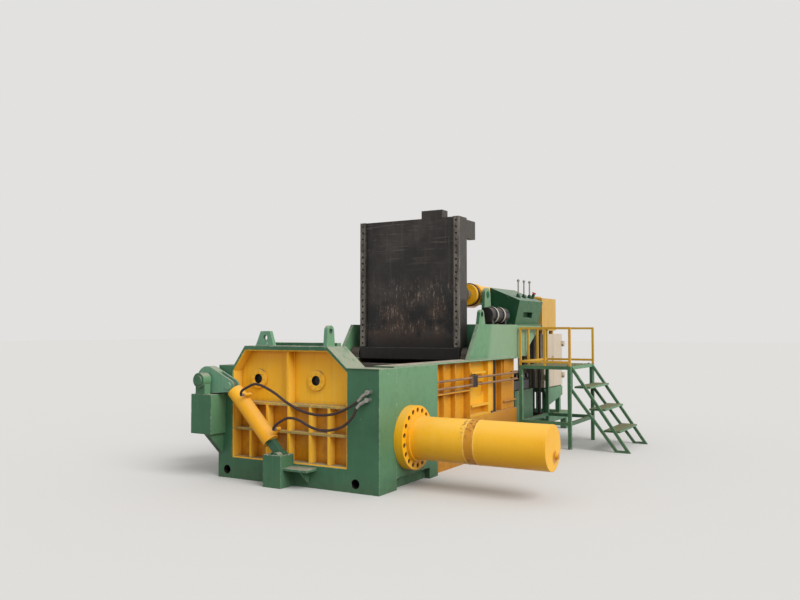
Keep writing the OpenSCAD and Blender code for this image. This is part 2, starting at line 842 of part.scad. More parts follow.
module platform_deck() {
  edge = 40;
  color(green) difference() {
    block([rail_x, deck_y, deck_z - edge], [deck_out, deck_end, deck_z]);
    block([rail_x + 20, deck_y + 20, deck_z - edge - 1], [deck_out - 20, deck_end - 20, deck_z - 8]);
  }
}

module platform_legs() {
  under = deck_z - 40;
  brace_z = 280;
  xs = [rail_x, deck_out - leg_w];
  ys = [deck_y, deck_end - leg_w];
  color(green) {
    for (x = xs, y = ys) block([x, y, 0], [x + leg_w, y + leg_w, under]);
    for (y = ys) {
      block([xs[0] + leg_w, y, brace_z], [xs[1], y + leg_w, brace_z + leg_w]);
      block([skid_x, y, skid_z - 80], [xs[0], y + leg_w, skid_z - 20]);
    }
    for (x = xs) block([x, ys[0] + leg_w, brace_z], [x + leg_w, ys[1], brace_z + leg_w]);
  }
}

// A square rail tube between two points that share two coordinates
module tube(a, b) {
  r = [rail_r, rail_r, rail_r];
  block(a - r, b + r);
}

module platform_railing() {
  x0 = rail_x + rail_r;
  x1 = deck_out - rail_r;
  y0 = deck_y + rail_r;
  y1 = deck_end - rail_r;
  foot = deck_z + rail_r;
  top = deck_z + rail_h - rail_r;
  color(yellow) {
    for (x = [x0, (x0 + x1) / 2, x1], y = [y0, y1]) tube([x, y, foot], [x, y, top]);
    for (f = [0.28, 0.62]) tube([x0, y0 + f * (y1 - y0), foot], [x0, y0 + f * (y1 - y0), top]);
    for (z = [foot + 35, top]) {
      tube([x0, y0, z], [x1, y0, z]);
      tube([x0, y1, z], [x1, y1, z]);
      tube([x0, y0, z], [x0, y1, z]);
    }
  }
}

module stairs() {
  bar = 30;
  run = 680;
  low_run = 545;
  rail_z = 715;
  ys = [deck_y + 50, deck_end - 50 - bar];
  foot = deck_out + run;
  rise = deck_z / run;
  color(green) {
    for (y = ys) {
      plate_xz(y, bar, [[deck_out, deck_z], [foot, 0], [foot - 40, 0], [deck_out, deck_z - 58]]);
      plate_xz(y, bar, [[deck_out, rail_z], [deck_out + low_run, 0], [deck_out + low_run - 38, 0],
        [deck_out, rail_z - 52]]);
      block([deck_out + low_run - 35, y, 0], [foot - 15, y + bar, 25]);
      block([deck_out - leg_w, y, rail_z - 52], [deck_out, y + bar, deck_z - 40]);
    }
    for (z = [745, 490, 245]) {
      x = deck_out + (deck_z - z) / rise - 45;
      block([x - 100, ys[0] + bar, z - 22], [x + 90, ys[1], z]);
    }
  }
}

module cabinet_body() {
  x0 = cabinet_x - cabinet_d - 20;
  x1 = cabinet_x - 20;
  color(beige) difference() {
    block([x0, cabinet_y, cabinet_z], [x1, cabinet_y + cabinet_w, cabinet_top]);
    block([x0 + sheet_t, cabinet_y + sheet_t, cabinet_z + sheet_t],
      [x1 + 1, cabinet_y + cabinet_w - sheet_t, cabinet_top - sheet_t]);
  }
  color(steel) for (s = [0, 1], z = hinge_heights) {
    y = s == 0 ? cabinet_y + 6 : cabinet_y + cabinet_w - 6;
    translate([door_axis_x, y, z - 40]) cylinder(r = door_pin_r, h = 80);
    translate([door_axis_x, y, z - 40]) cylinder(r = 12, h = 30);
    block([x1 - 10, y - 12 + 15 * s, z - 40], [door_axis_x, y - 3 + 15 * s, z - 10]);
  }
}

hinge_heights = [cabinet_z + 140, cabinet_top - 140];

// One door leaf, drawn for the leaf on the low-Y side
module door_leaf(handle) {
  z0 = cabinet_z + door_gap;
  z1 = cabinet_top - door_gap;
  mid = cabinet_y + cabinet_w / 2 - door_gap;
  x = cabinet_x - 18;
  color(beige) difference() {
    block([x, cabinet_y + 9, z0], [x + door_sheet, mid, z1]);
    for (z = hinge_heights) {
      translate([door_axis_x, cabinet_y + 6, z - 42]) cylinder(r = 14, h = 84);
    }
  }
  color(steel) for (z = hinge_heights) difference() {
    union() {
      translate([door_axis_x, cabinet_y + 6, z - 9.7]) cylinder(r = 12, h = 49.7);
      block([x + door_sheet, cabinet_y + 6, z - 9.7], [door_axis_x, cabinet_y + 40, z + 40]);
    }
    translate([door_axis_x, cabinet_y + 6, z - 41]) cylinder(r = door_pin_r + gland_gap, h = 82);
  }
  if (handle) {
    color(black) block([x + door_sheet, mid - 45, (z0 + z1) / 2 - 60],
      [x + door_sheet + 22, mid - 20, (z0 + z1) / 2 + 60]);
  }
}

module cabinet_door_left() {
  door_leaf(true);
}

module cabinet_door_right() {
  centre = cabinet_y + cabinet_w / 2;
  translate([0, 2 * centre, 0]) mirror([0, 1, 0]) door_leaf(false);
}

module header_tank() {
  z0 = cabinet_top + 45;
  y0 = cabinet_y - 50;
  color(tan_yellow) {
    block([cabinet_x - 350, y0, z0], [cabinet_x, y0 + 560, z0 + 440]);
    for (x = [cabinet_x - 330, cabinet_x - 80], y = [cabinet_y + 20, cabinet_y + 440]) {
      block([x, y, cabinet_top], [x + 50, y + 50, z0]);
    }
    translate([cabinet_x - 175, y0 + 280, z0 + 440]) cylinder(r = 60, h = 30);
  }
}

// Upright pipes from a manifold on the skid to the header tank
module riser_pipes() {
  y = cabinet_y - 26;
  color(black) {
    block([530, y - 22, skid_z], [cabinet_x, y + 22, skid_z + 60]);
    for (x = [560, 640, 705, 790]) {
      translate([x, y, skid_z + 60]) cylinder(r = 20, h = cabinet_top + 45 - skid_z - 60);
      translate([x, y, skid_z + 60]) cylinder(r = 24, h = 40);
    }
  }
}

module oil_tank() {
  color(green) block([tank_x, tank_y, skid_z], [tank_x + tank_w, tank_y + tank_l, skid_z + tank_h]);
}

module pump_motor() {
  x = tank_x + 105;
  y = tank_y + tank_l;
  axis_z = skid_z + motor_r + 45;
  color(black) {
    bar_y(x, y, axis_z, 90, 60);
    bar_y(x, y + 60, axis_z, motor_r, 400);
    for (s = [110, 360]) block([x - 110, y + s, skid_z], [x + 110, y + s + 60, axis_z]);
  }
}

module valve_stack() {
  z0 = skid_z + tank_h;
  color(black) {
    block([tank_x + 120, tank_y + 40, z0], [tank_x + tank_w - 30, tank_y + tank_l - 60, z0 + 120]);
    for (i = [0:3]) {
      y = tank_y + 80 + 125 * i;
      block([tank_x + 190, y, z0 + 120], [tank_x + tank_w - 90, y + 85, z0 + 230]);
      bar_x(tank_x + tank_w - 90, y + 42, z0 + 175, 28, 70);
    }
  }
}

module power_skid() {
  beam_w = 80;
  beam_h = 100;
  legs = [60, 980, skid_l - 140];
  x0 = tank_x;
  x1 = skid_x - beam_w;
  post_z = cabinet_z - 70;
  color(green) {
    for (x = [x0, x1]) {
      block([x, wall_end, skid_z - beam_h], [x + beam_w, wall_end + skid_l, skid_z]);
      for (l = legs) {
        block([x, wall_end + l, 0], [x + beam_w, wall_end + l + 80, skid_z - beam_h]);
      }
    }
    for (l = [300, 1000, skid_l - 80]) {
      block([x0 + beam_w, wall_end + l, skid_z - beam_h], [x1, wall_end + l + 80, skid_z]);
    }
    for (x = [cabinet_x - cabinet_d - 20, cabinet_x - 80], y = [cabinet_y + 150, cabinet_y + 700]) {
      block([x, y, skid_z], [x + 60, y + 60, post_z]);
    }
    block([cabinet_x - cabinet_d - 20, cabinet_y + 140, post_z],
      [cabinet_x - 20, cabinet_y + cabinet_w, cabinet_z]);
    plate_yz(cabinet_x - 20, 20, [[cabinet_y + 20, cabinet_z - 15],
      [cabinet_y + cabinet_w, cabinet_z - 15], [cabinet_y + cabinet_w, cabinet_z - 140],
      [cabinet_y + 230, cabinet_z - 240]]);
  }
}

module main_ram() {
  bolt_hole_r = 20;
  color(steel) difference() {
    block([in_x, box_y + ram_gap, floor_z + ram_gap],
      [in_x + ram_t, box_y + ram_gap + ram_w, floor_z + ram_gap + ram_h]);
    for (dy = [-150, 150], dz = [-150, 150]) {
      bar_x(in_x - 1, cyl_y + dy, cyl_z + dz, bolt_hole_r, bolt_hole_r);
    }
  }
}

module main_rod() {
  x = in_x + ram_t;
  rod_l = half_w + main_cyl_l - 80 - x - 170;
  color(steel) {
    bar_x(x, cyl_y, cyl_z, main_rod_r, rod_l - piston_t);
    bar_x(x + rod_l - piston_t, cyl_y, cyl_z, main_bore_r - 5, piston_t);
  }
}

module feed_ram() {
  half = in_x - ram_gap;
  z0 = floor_z + ram_gap;
  color(steel) difference() {
    block([-half, feed_face, z0], [half, feed_back, z0 + ram_h]);
    for (x = [-0.5, 0.5]) {
      block([(x - 0.38) * half, feed_face + 120, z0 + 60],
        [(x + 0.38) * half, feed_back + 1, z0 + ram_h + 1]);
    }
  }
}

module feed_rod() {
  piston_y = bulkhead_y + bulkhead_t + feed_stroke + 62;
  color(steel) {
    bar_y(0, feed_back, cyl_z, feed_rod_r, piston_y - feed_back);
    bar_y(0, piston_y, cyl_z, feed_tube_r - 35, 40);
  }
}

module lid_plate() {
  top = hinge_z + lid_len;
  skin = lid_front + blade_t;
  color(dark) {
    difference() {
      union() {
        bar_x(-lid_half, hinge_y, hinge_z, knuckle_r, 2 * lid_half);
        block([-lid_half, skin, hinge_z], [lid_half, lid_back - 40, top]);
        block([-lid_half, lid_front, hinge_z - 60], [lid_half, skin, hinge_z + 70]);
      }
      bar_x(-lid_half - 1, hinge_y, hinge_z, hinge_r, 2 * lid_half + 2);
    }
    for (x = [-lid_half, -lid_half / 3, lid_half / 3 - rib_t, lid_half - rib_t]) {
      block([x, lid_back - 40, hinge_z + 90], [x + rib_t, lid_back, top]);
    }
    for (f = [0.2, 0.5, 0.8]) {
      z = hinge_z + f * lid_len;
      block([-lid_half + rib_t, lid_back - 40, z], [-lid_half / 3, lid_back, z + rib_t]);
      block([-lid_half / 3 + rib_t, lid_back - 40, z], [lid_half / 3 - rib_t, lid_back, z + rib_t]);
      block([lid_half / 3, lid_back - 40, z], [lid_half - rib_t, lid_back, z + rib_t]);
    }
    block([166, skin, top], [431, lid_back - 40, top + 90]);
    block([lid_half - 80, lid_back, top - 230], [lid_half, lid_back + 230, top - 20]);
  }
  color(steel) bar_x(-in_x - 125, hinge_y, hinge_z, hinge_r, box_w + 250);
}

module lid_blades() {
  z0 = hinge_z + 80;
  n = 20;
  step = (lid_len - 90) / n;
  skin = lid_front + blade_t;
  color(dark) mirrored() difference() {
    block([lid_half - blade_w, lid_front, z0], [lid_half, skin, hinge_z + lid_len]);
    for (i = [0:n - 1]) bar_y(lid_half - blade_w / 2, lid_front - 1, z0 + (i + 0.5) * step, 10, 13);
  }
}

module lid_arms() {
  base_z = hinge_z + 305;
  high_z = hinge_z + 1125;
  tip_r = 90;
  gap = lid_rod_r + 10;
  t = 30;
  color(dark) for (c = [-lid_cyl_x, lid_cyl_x], s = [-1, 1]) {
    x = c + s * (gap + t / 2) - t / 2;
    slab_yz(x, t) {
      translate([pin_y, pin_z]) circle(r = tip_r);
      polygon(concat([[lid_back, base_z], [lid_back, high_z]],
        [for (p = [80, -100]) [pin_y, pin_z] + tip_r * [cos(p), sin(p)]]));
    }
    bar_x(c + s * (gap + t + 12) - 12, pin_y, pin_z, 50, 24);
  }
}

// One lid cylinder barrel at c, with its trunnion ring and pins
module lid_barrel(c) {
  end_t = 30;
  color(yellow) difference() {
    union() {
      bar_y(c, barrel_front, pin_z, lid_tube_r, lid_barrel_l);
      bar_y(c, barrel_front, pin_z, lid_tube_r + 12, 70);
      bar_y(c, trunnion_y - 50, pin_z, lid_tube_r + 20, 100);
    }
    bar_y(c, barrel_front - 1, pin_z, lid_rod_r + gland_gap, 101);
    bar_y(c, barrel_front + 99, pin_z, lid_tube_r - 22, lid_barrel_l - 99 - end_t);
  }
  color(steel) for (s = [-1, 1]) {
    mid = c + s * (lid_tube_r + 46);
    bar_x(mid - 30, trunnion_y, pin_z, trunnion_r, 60);
  }
}

// One lid rod at c, with its eye and piston
module lid_rod(c) {
  eye_r = 75;
  rod_end = barrel_front + lid_barrel_l - 45;
  color(steel) {
    bar_x(c - 50, pin_y, pin_z, eye_r, 100);
    bar_x(c - 62, pin_y, pin_z, 42, 124);
    bar_y(c, pin_y, pin_z, lid_rod_r, rod_end - 60 - pin_y);
    bar_y(c, rod_end - 60, pin_z, lid_tube_r - 27, 60);
  }
}

module lid_barrel_right() {
  lid_barrel(lid_cyl_x);
}

module lid_barrel_left() {
  lid_barrel(-lid_cyl_x);
}

module lid_rod_right() {
  lid_rod(lid_cyl_x);
}

module lid_rod_left() {
  lid_rod(-lid_cyl_x);
}

module turn_shaft() {
  front = front_y - pedestal_d - 35;
  back = box_y + 550 + bearing_t + 10;
  color(steel) bar_y(shaft_x, front, turn_z, turn_r, back - front);
}

module turn_crank() {
  color(green) difference() {
    slab_xz(crank_y, crank_t) difference() {
      link([shaft_x, turn_z], crank_hub_r, [pin_x, crank_pin_z], crank_tip_r);
      translate([shaft_x, turn_z]) circle(r = turn_r);
    }
    slab_xz(plane_y - slot_w / 2, slot_w) difference() {
      translate([pin_x + 40, crank_pin_z]) square([360, 700], center = true);
      translate([shaft_x, turn_z]) circle(r = crank_hub_r - 12);
    }
  }
  color(steel) for (y = [crank_y - 12, crank_y + crank_t]) {
    bar_y(pin_x, y, crank_pin_z, 36, 12);
  }
}

// The turn-out door and its arms, drawn shut and then swung out to their rest place
module turn_door() {
  face_x = -half_w + 170;
  z0 = floor_z + 30;
  z1 = floor_z + ram_h - 5;
  arm_w = 80;
  arm_y = [box_y + 30, box_y + 390];
  color(dark) translate([shaft_x, 0, turn_z]) rotate([0, turn_swing, 0])
    translate([-shaft_x, 0, -turn_z]) {
      block([face_x, box_y + ram_gap + 1, z0],
        [face_x + door_t, box_y + ram_w + ram_gap - 1, z1]);
      for (y = arm_y) slab_xz(y, 40) difference() {
        union() {
          translate([shaft_x, turn_z]) circle(r = turn_r + 25);
          polygon([[shaft_x - arm_w / 2, turn_z], [shaft_x + arm_w / 2, turn_z],
            [shaft_x + arm_w / 2, 620], [face_x, 620], [face_x, 480], [shaft_x - 10, 480],
            [shaft_x - arm_w / 2, 520]]);
        }
        translate([shaft_x, turn_z]) circle(r = turn_r);
      }
    }
}

// Places a child at the barrel's lower pivot, with Z along the barrel
module on_turn_cylinder() {
  translate([foot_x, plane_y, foot_z]) rotate([0, turn_lean, 0]) children();
}

module turn_barrel() {
  eye_t = 60;
  color(yellow) on_turn_cylinder() difference() {
    union() {
      translate([0, 0, turn_barrel_a]) cylinder(r = turn_tube_r, h = turn_barrel_b - turn_barrel_a);
      translate([-38, -eye_t / 2, 0]) cube([76, eye_t, turn_barrel_a]);
      translate([0, eye_t / 2, 0]) rotate([90, 0, 0]) cylinder(r = 52, h = eye_t);
      port(port_b, port_n, 88);
      port(port_a, port_low_n, 50);
    }
    translate([0, eye_t / 2 + 1, 0]) rotate([90, 0, 0]) {
      cylinder(r = foot_pin_r + gland_gap, h = eye_t + 2);
    }
    translate([0, 0, turn_barrel_a + 40]) cylinder(r = turn_rod_r + gland_gap, h = turn_link);
  }
}

// A port block on the barrel at s along it, with its mouth n off the axis and standing out in front
module port(s, n, out) {
  translate([40, -13, s - 13]) cube([n - 28, 26, 26]);
  translate([n, -out, s]) rotate([-90, 0, 0]) cylinder(r = 15, h = out - 10);
}

module turn_rod() {
  eye_t = slot_w - 4;
  color(steel) on_turn_cylinder() {
    translate([0, 0, turn_link]) rotate([90, 0, 0]) cylinder(r = 42, h = eye_t, center = true);
    translate([0, 0, turn_link - 560]) cylinder(r = turn_rod_r, h = 540);
  }
}

module lever_1() {
  lever(0);
}

module lever_2() {
  lever(1);
}

module lever_3() {
  lever(2);
}

front_frame();
front_bay();
lifting_lugs();
right_frame();
left_frame();
right_wall();
left_wall();
wall_ledges();
floor_base();
shear_beam();
rear_bulkheads();
rear_housing();
rear_lugs();
hinge_bearings();
main_cylinder();
flange_bolts();
feed_cylinder();
trunnion_bearings();
shaft_pedestal();
shaft_bearings();
pivot_bracket();
side_pipes();
hose_upper();
hose_lower();
hose_fittings();
valve_body();
console();
platform_deck();
platform_legs();
platform_railing();
stairs();
cabinet_body();
header_tank();
riser_pipes();
oil_tank();
pump_motor();
valve_stack();
power_skid();
main_ram();
main_rod();
feed_ram();
feed_rod();
lid_plate();
lid_blades();
lid_arms();
lid_barrel_right();
lid_barrel_left();
lid_rod_right();
lid_rod_left();
turn_shaft();
turn_crank();
turn_door();
turn_barrel();
turn_rod();
lever_1();
lever_2();
lever_3();
stop_button();
cabinet_door_left();
cabinet_door_right();
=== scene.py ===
import math
import bpy
import numpy as np
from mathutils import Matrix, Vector


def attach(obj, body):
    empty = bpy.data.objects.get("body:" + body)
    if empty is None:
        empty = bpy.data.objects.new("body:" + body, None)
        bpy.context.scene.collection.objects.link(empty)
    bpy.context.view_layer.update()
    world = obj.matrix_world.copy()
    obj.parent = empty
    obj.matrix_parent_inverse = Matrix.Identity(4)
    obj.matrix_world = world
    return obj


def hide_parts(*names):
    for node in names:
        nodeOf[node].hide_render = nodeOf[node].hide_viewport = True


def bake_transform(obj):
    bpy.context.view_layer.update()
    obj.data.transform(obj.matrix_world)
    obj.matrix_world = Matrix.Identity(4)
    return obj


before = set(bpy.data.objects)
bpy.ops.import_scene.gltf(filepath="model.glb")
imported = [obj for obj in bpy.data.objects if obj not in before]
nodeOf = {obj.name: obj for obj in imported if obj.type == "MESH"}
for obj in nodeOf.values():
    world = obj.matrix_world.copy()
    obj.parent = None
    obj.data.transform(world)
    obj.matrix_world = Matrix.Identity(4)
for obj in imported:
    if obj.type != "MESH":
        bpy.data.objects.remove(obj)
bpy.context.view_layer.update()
scene = bpy.context.scene
print("frame loaded:", len(nodeOf), "nodes")

# the camera looks along the heading and pitch at which the press is seen
cameraLook = {
    "place": (4.421, -5.817, 1.42),
    "heading": 30.03,   # degrees from +Y towards -X
    "pitch": 2.208,     # degrees above level
    "lens": 35.0,
}


def makeCamera(look):
    lens = bpy.data.cameras.new("camera")
    lens.lens = look["lens"]
    lens.sensor_width = 36
    lens.clip_start = 0.05
    lens.clip_end = 200
    eye = bpy.data.objects.new("camera", lens)
    scene.collection.objects.link(eye)
    eye.location = look["place"]
    eye.rotation_euler = (math.radians(90 + look["pitch"]), 0, math.radians(look["heading"]))
    scene.camera = eye


makeCamera(cameraLook)


# sRGB numbers from 0 to 255 as linear light: dark values are divided by 12.92, and the others
# follow a power of 2.4
def paint(red, green, blue):
    part = np.array([red, green, blue]) / 255
    light = np.where(part <= 0.04045, part / 12.92, ((part + 0.055) / 1.055) ** 2.4)
    return tuple(float(x) for x in light) + (1.0,)


# a socket that turns Python sums into Math nodes
class Wire:
    def __init__(self, kit, socket):
        self.kit = kit
        self.socket = socket

    def maths(self, kind, first, second):
        return self.kit.node("ShaderNodeMath", {"operation": kind}, {0: first, 1: second})

    def __add__(self, other):
        return self.maths("ADD", self, other)

    def __sub__(self, other):
        return self.maths("SUBTRACT", self, other)

    def __rsub__(self, other):
        return self.maths("SUBTRACT", other, self)

    def __mul__(self, other):
        return self.maths("MULTIPLY", self, other)

    def __pow__(self, other):
        return self.maths("POWER", self, other)

    def __abs__(self):
        return self.maths("ABSOLUTE", self, 0.0)

    __radd__ = __add__
    __rmul__ = __mul__


# one material under work: its nodes are made, set and linked here
class Kit:
    def __init__(self, name):
        self.material = bpy.data.materials.new(name)
        self.material.use_nodes = True
        self.tree = self.material.node_tree
        self.tree.nodes.clear()
        self.place = self.node("ShaderNodeTexCoord", out="Object")
        self.facing = self.node("ShaderNodeTexCoord", out="Normal")
        self.across, self.deep, self.height = (self.axis(self.place, n) for n in range(3))
        self.right, self.back, self.up = (self.axis(self.facing, n) for n in range(3))

    def node(self, kind, settings=None, inputs=None, out=0):
        made = self.tree.nodes.new(kind)
        for key, value in (settings or {}).items():
            setattr(made, key, value)
        for key, value in (inputs or {}).items():
            if isinstance(value, Wire):
                self.tree.links.new(value.socket, made.inputs[key])
            else:
                made.inputs[key].default_value = value
        return Wire(self, made.outputs[out])

    def axis(self, vector, which):
        return self.node("ShaderNodeSeparateXYZ", None, {0: vector}, out=which)

    def vector(self, kind, first, second, out=0):
        return self.node("ShaderNodeVectorMath", {"operation": kind}, {0: first, 1: second}, out=out)

    def noise(self, scale, detail=3.0, roughness=0.55, stretch=None):
        where = self.place if stretch is None else self.vector("MULTIPLY", self.place, stretch)
        return self.node("ShaderNodeTexNoise", {"noise_dimensions": "3D"},
                         {"Vector": where, "Scale": scale, "Detail": detail, "Roughness": roughness})

    # rises smoothly from 0 at low to 1 at high, or falls where low is the larger
    def ramp(self, value, low, high):
        return self.node("ShaderNodeMapRange", {"interpolation_type": "SMOOTHSTEP", "clamp": True},
                         {"Value": value, "From Min": low, "From Max": high})

    # 1 between low and high and 0 outside, with soft ends
    def band(self, value, low, high, soft):
        return self.ramp(value, low - soft, low + soft) * self.ramp(value, high + soft, high - soft)

    def larger(self, first, second):
        return self.node("ShaderNodeMath", {"operation": "MAXIMUM"}, {0: first, 1: second})

    def mix(self, factor, first, second):
        return self.node("ShaderNodeMix", {"data_type": "RGBA", "blend_type": "MIX"},
                         {"Factor": factor, 6: first, 7: second}, out=2)

    # the rounded normal, and how near an edge a point is: 0 on a flat face, 1 on the edge
    def edge(self, radius):
        bent = self.node("ShaderNodeBevel", {"samples": 4}, {"Radius": radius})
        flat = self.node("ShaderNodeNewGeometry", out="Normal")
        return bent, self.ramp(1 - self.vector("DOT_PRODUCT", bent, flat, out="Value"), 0.01, 0.22)

    # 0 on an open face, up to 1 deep in a corner
    def crevice(self, distance):
        return 1 - self.node("ShaderNodeAmbientOcclusion", {"samples": 4, "only_local": True},
                             {"Distance": distance}, out="AO")

    # how far a point is from an axis that runs along Y
    def awayFrom(self, across, height):
        return ((self.across - across) ** 2 + (self.height - height) ** 2) ** 0.5

    # bump of the given depth over plain or rounded normals, under one skin
    def finish(self, sockets, height, depth, bent=None):
        shape = {"Height": height, "Strength": 1.0, "Distance": depth}
        if bent is not None:
            shape["Normal"] = bent
        bump = self.node("ShaderNodeBump", None, shape)
        skin = self.node("ShaderNodeBsdfPrincipled", None, {**sockets, "Normal": bump})
        out = self.tree.nodes.new("ShaderNodeOutputMaterial")
        self.tree.links.new(skin.socket, out.inputs["Surface"])
        return self.material


# what every painted finish starts from; scales are per metre, and a look below changes some of it
paintStart = {
    "patchScale": 1.3, "cloudScale": 5.0, "mottleScale": 16.0, "pickScale": 38.0, "grainScale": 240.0,
    "streakStretch": (34.0, 34.0, 1.2),
    "bleaching": 0.0, "bleachLow": 0.4, "bleachHigh": 1.5,
    "mottling": 0.12, "streaks": 0.3, "runs": 0.25,
    "dust": 0.6, "soil": 0.4, "soilTop": 0.4, "grime": 0.5, "corner": 0.08,
    "roundEdge": 0.006, "edgeWear": 0.22, "chipEdge": 0.016, "chipping": 0.12,
    "rough": 0.38, "gloss": 0.35, "orangePeel": 0.2, "depth": 0.0016,
}


# painted steel: paint faded by slow noise, painted light that makes the faces towards +X lighter,
# more so higher up, dust on faces that look up, soil near the ground, streaks on upright faces,
# painted shade with grime in corners, and chips where noise passes a limit, more so near the edges
def paintedSteel(name, changes):
    look = {**paintStart, **changes}
    kit = Kit(name)
    patch = kit.noise(look["patchScale"], 4.0)
    cloud = kit.noise(look["cloudScale"], 3.0)
    mottle = kit.noise(look["mottleScale"], 5.0, 0.62)
    grain = kit.noise(look["grainScale"], 2.0)
    streak = kit.noise(1.0, 4.0, 0.6, look["streakStretch"])
    upright = kit.ramp(abs(kit.up), 0.8, 0.3)
    tone = kit.mix(kit.ramp(patch, 0.36, 0.66), look["paint"], look["faded"])
    # painted light: faces that look towards +X, where the light comes from, are made lighter, more so
    # higher up
    litFaces = kit.ramp(kit.right, 0.4, 0.9)
    litFaces = litFaces * kit.ramp(kit.height + 0.7 * patch, look["bleachLow"], look["bleachHigh"])
    tone = kit.mix(litFaces * look["bleaching"], tone, look["bleached"])
    tone = kit.mix(kit.ramp(mottle, 0.45, 0.75) * look["mottling"], tone, look["deep"])
    tone = kit.mix(kit.ramp(streak, 0.54, 0.74) * upright * look["streaks"], tone, look["stain"])
    tone = kit.mix(kit.ramp(streak, 0.46, 0.28) * upright * look["runs"], tone, look["primer"])
    dust = kit.ramp(kit.up, 0.3, 0.85) * kit.ramp(mottle + 0.5 * cloud, 0.40, 0.80)
    tone = kit.mix(dust * look["dust"], tone, look["dustTone"])
    soil = kit.ramp(kit.height + 0.3 * mottle, look["soilTop"], 0.1) * kit.ramp(mottle, 0.35, 0.6)
    tone = kit.mix(soil * look["soil"], tone, look["soilTone"])
    # painted shade with grime: corners and creases are darkened towards the stain tone
    corner = kit.ramp(kit.crevice(look["corner"]), 0.3, 0.95)
    tone = kit.mix(corner * look["grime"], tone, look["stain"])
    bent, edge = kit.edge(look["roundEdge"])
    picks = kit.noise(look["pickScale"], 4.0, 0.7)
    worn = picks + edge * look["edgeWear"]
    wear = kit.ramp(worn, 0.73, 0.77)
    tone = kit.mix(kit.ramp(worn, 0.66, 0.74) * 0.6, tone, look["primer"])
    tone = kit.mix(wear, tone, kit.mix(kit.ramp(mottle, 0.45, 0.6), look["bare"], look["rust"]))
    if "chipScale" in look:
        spots = kit.noise(look["chipScale"], 3.0, 0.6)
        chip = kit.ramp(spots + kit.edge(look["chipEdge"])[1] * look["chipping"], 0.735, 0.755)
        tone = kit.mix(chip, tone, look["bare"])
    if "extra" in look:
        tone = look["extra"](kit, tone, mottle, picks)
    rough = (kit.ramp(mottle, 0.2, 0.9) * 0.2 + look["rough"] + dust * 0.35 + soil * 0.3
             + wear * 0.2)
    body = mottle * look["orangePeel"] + grain * 0.06 + cloud * 0.9 - wear * 0.5
    return kit.finish({"Base Color": tone, "Roughness": rough, "Metallic": wear * 0.2,
                       "Specular IOR Level": look["gloss"]}, body, look["depth"], bent)


steelStart = {
    "patchScale": 2.4, "mottleScale": 18.0, "pickScale": 26.0, "grain": (9.0, 9.0, 90.0),
    "scratches": 0.25, "roundEdge": 0.007, "edgeWear": 0.3, "corner": 0.06, "rough": 0.45,
    "depth": 0.0022,
}


# dark working steel: brown-black scale with rubbed bright edges and oil sheen, and painted shade in its
# corners
def scaleSteel(name, changes):
    look = {**steelStart, **changes}
    kit = Kit(name)
    patch = kit.noise(look["patchScale"], 5.0, 0.6)
    mottle = kit.noise(look["mottleScale"], 6.0, 0.65)
    scratch = kit.noise(1.0, 3.0, 0.6, look["grain"])
    tone = kit.mix(kit.ramp(patch, 0.35, 0.65), look["dark"], look["brown"])
    tone = kit.mix(kit.ramp(mottle, 0.5, 0.72) * 0.5, tone, look["rust"])
    tone = kit.mix(kit.ramp(scratch, 0.56, 0.75) * look["scratches"], tone, look["bright"])
    if "extra" in look:
        tone = look["extra"](kit, tone, mottle, patch)
    bent, edge = kit.edge(look["roundEdge"])
    picks = kit.noise(look["pickScale"], 4.0, 0.7)
    wear = kit.ramp(picks + edge * look["edgeWear"], 0.68, 0.8)
    tone = kit.mix(wear * 0.8, tone, look["bright"])
    # painted shade: corners and creases are darkened towards the deep tone
    tone = kit.mix(kit.ramp(kit.crevice(look["corner"]), 0.3, 0.9) * 0.6, tone, look["deep"])
    rough = kit.ramp(mottle, 0.25, 0.8) * 0.25 + look["rough"] - wear * 0.1
    body = mottle * 0.55 + scratch * 0.2 + picks * 0.15
    return kit.finish({"Base Color": tone, "Roughness": rough, "Metallic": wear * 0.4 + 0.1},
                      body, look["depth"], bent)


groundStart = {
    "mottleScale": 30.0, "stains": 0.5, "roundEdge": 0.003, "rough": 0.2, "metal": 0.9,
    "depth": 0.0004,
}


# ground and plated steel of rods and pins, with fine marks and an oil film
def groundSteel(name, changes):
    look = {**groundStart, **changes}
    kit = Kit(name)
    mottle = kit.noise(look["mottleScale"], 4.0, 0.6)
    fine = kit.noise(1.0, 2.0, 0.5, look["grain"])
    tone = kit.mix(kit.ramp(mottle, 0.4, 0.75) * look["stains"], look["steel"], look["stain"])
    bent, edge = kit.edge(look["roundEdge"])
    tone = kit.mix(edge * 0.4, tone, look["bright"])
    rough = kit.ramp(fine, 0.3, 0.7) * 0.12 + kit.ramp(mottle, 0.4, 0.7) * 0.18 + look["rough"]
    return kit.finish({"Base Color": tone, "Roughness": rough, "Metallic": look["metal"]},
                      fine * 0.3 + mottle * 0.3, look["depth"], bent)


skinStart = {
    "mottleScale": 25.0, "pebbleScale": 420.0, "dust": 0.35, "rough": 0.42, "depth": 0.0006,
}


# moulded rubber and plastic: a fine pebbled skin with a pale bloom on top
def mouldedSkin(name, changes):
    look = {**skinStart, **changes}
    kit = Kit(name)
    mottle = kit.noise(look["mottleScale"], 4.0)
    fine = kit.noise(look["pebbleScale"], 2.0)
    tone = kit.mix(kit.ramp(mottle, 0.42, 0.7) * 0.5, look["skin"], look["bloom"])
    settled = kit.ramp(kit.up, 0.3, 1.0) * kit.ramp(mottle, 0.3, 0.6)
    tone = kit.mix(settled * look["dust"], tone, look["dustTone"])
    rough = kit.ramp(mottle, 0.3, 0.7) * 0.15 + look["rough"]
    return kit.finish({"Base Color": tone, "Roughness": rough}, fine * 0.6 + mottle * 0.4,
                      look["depth"])


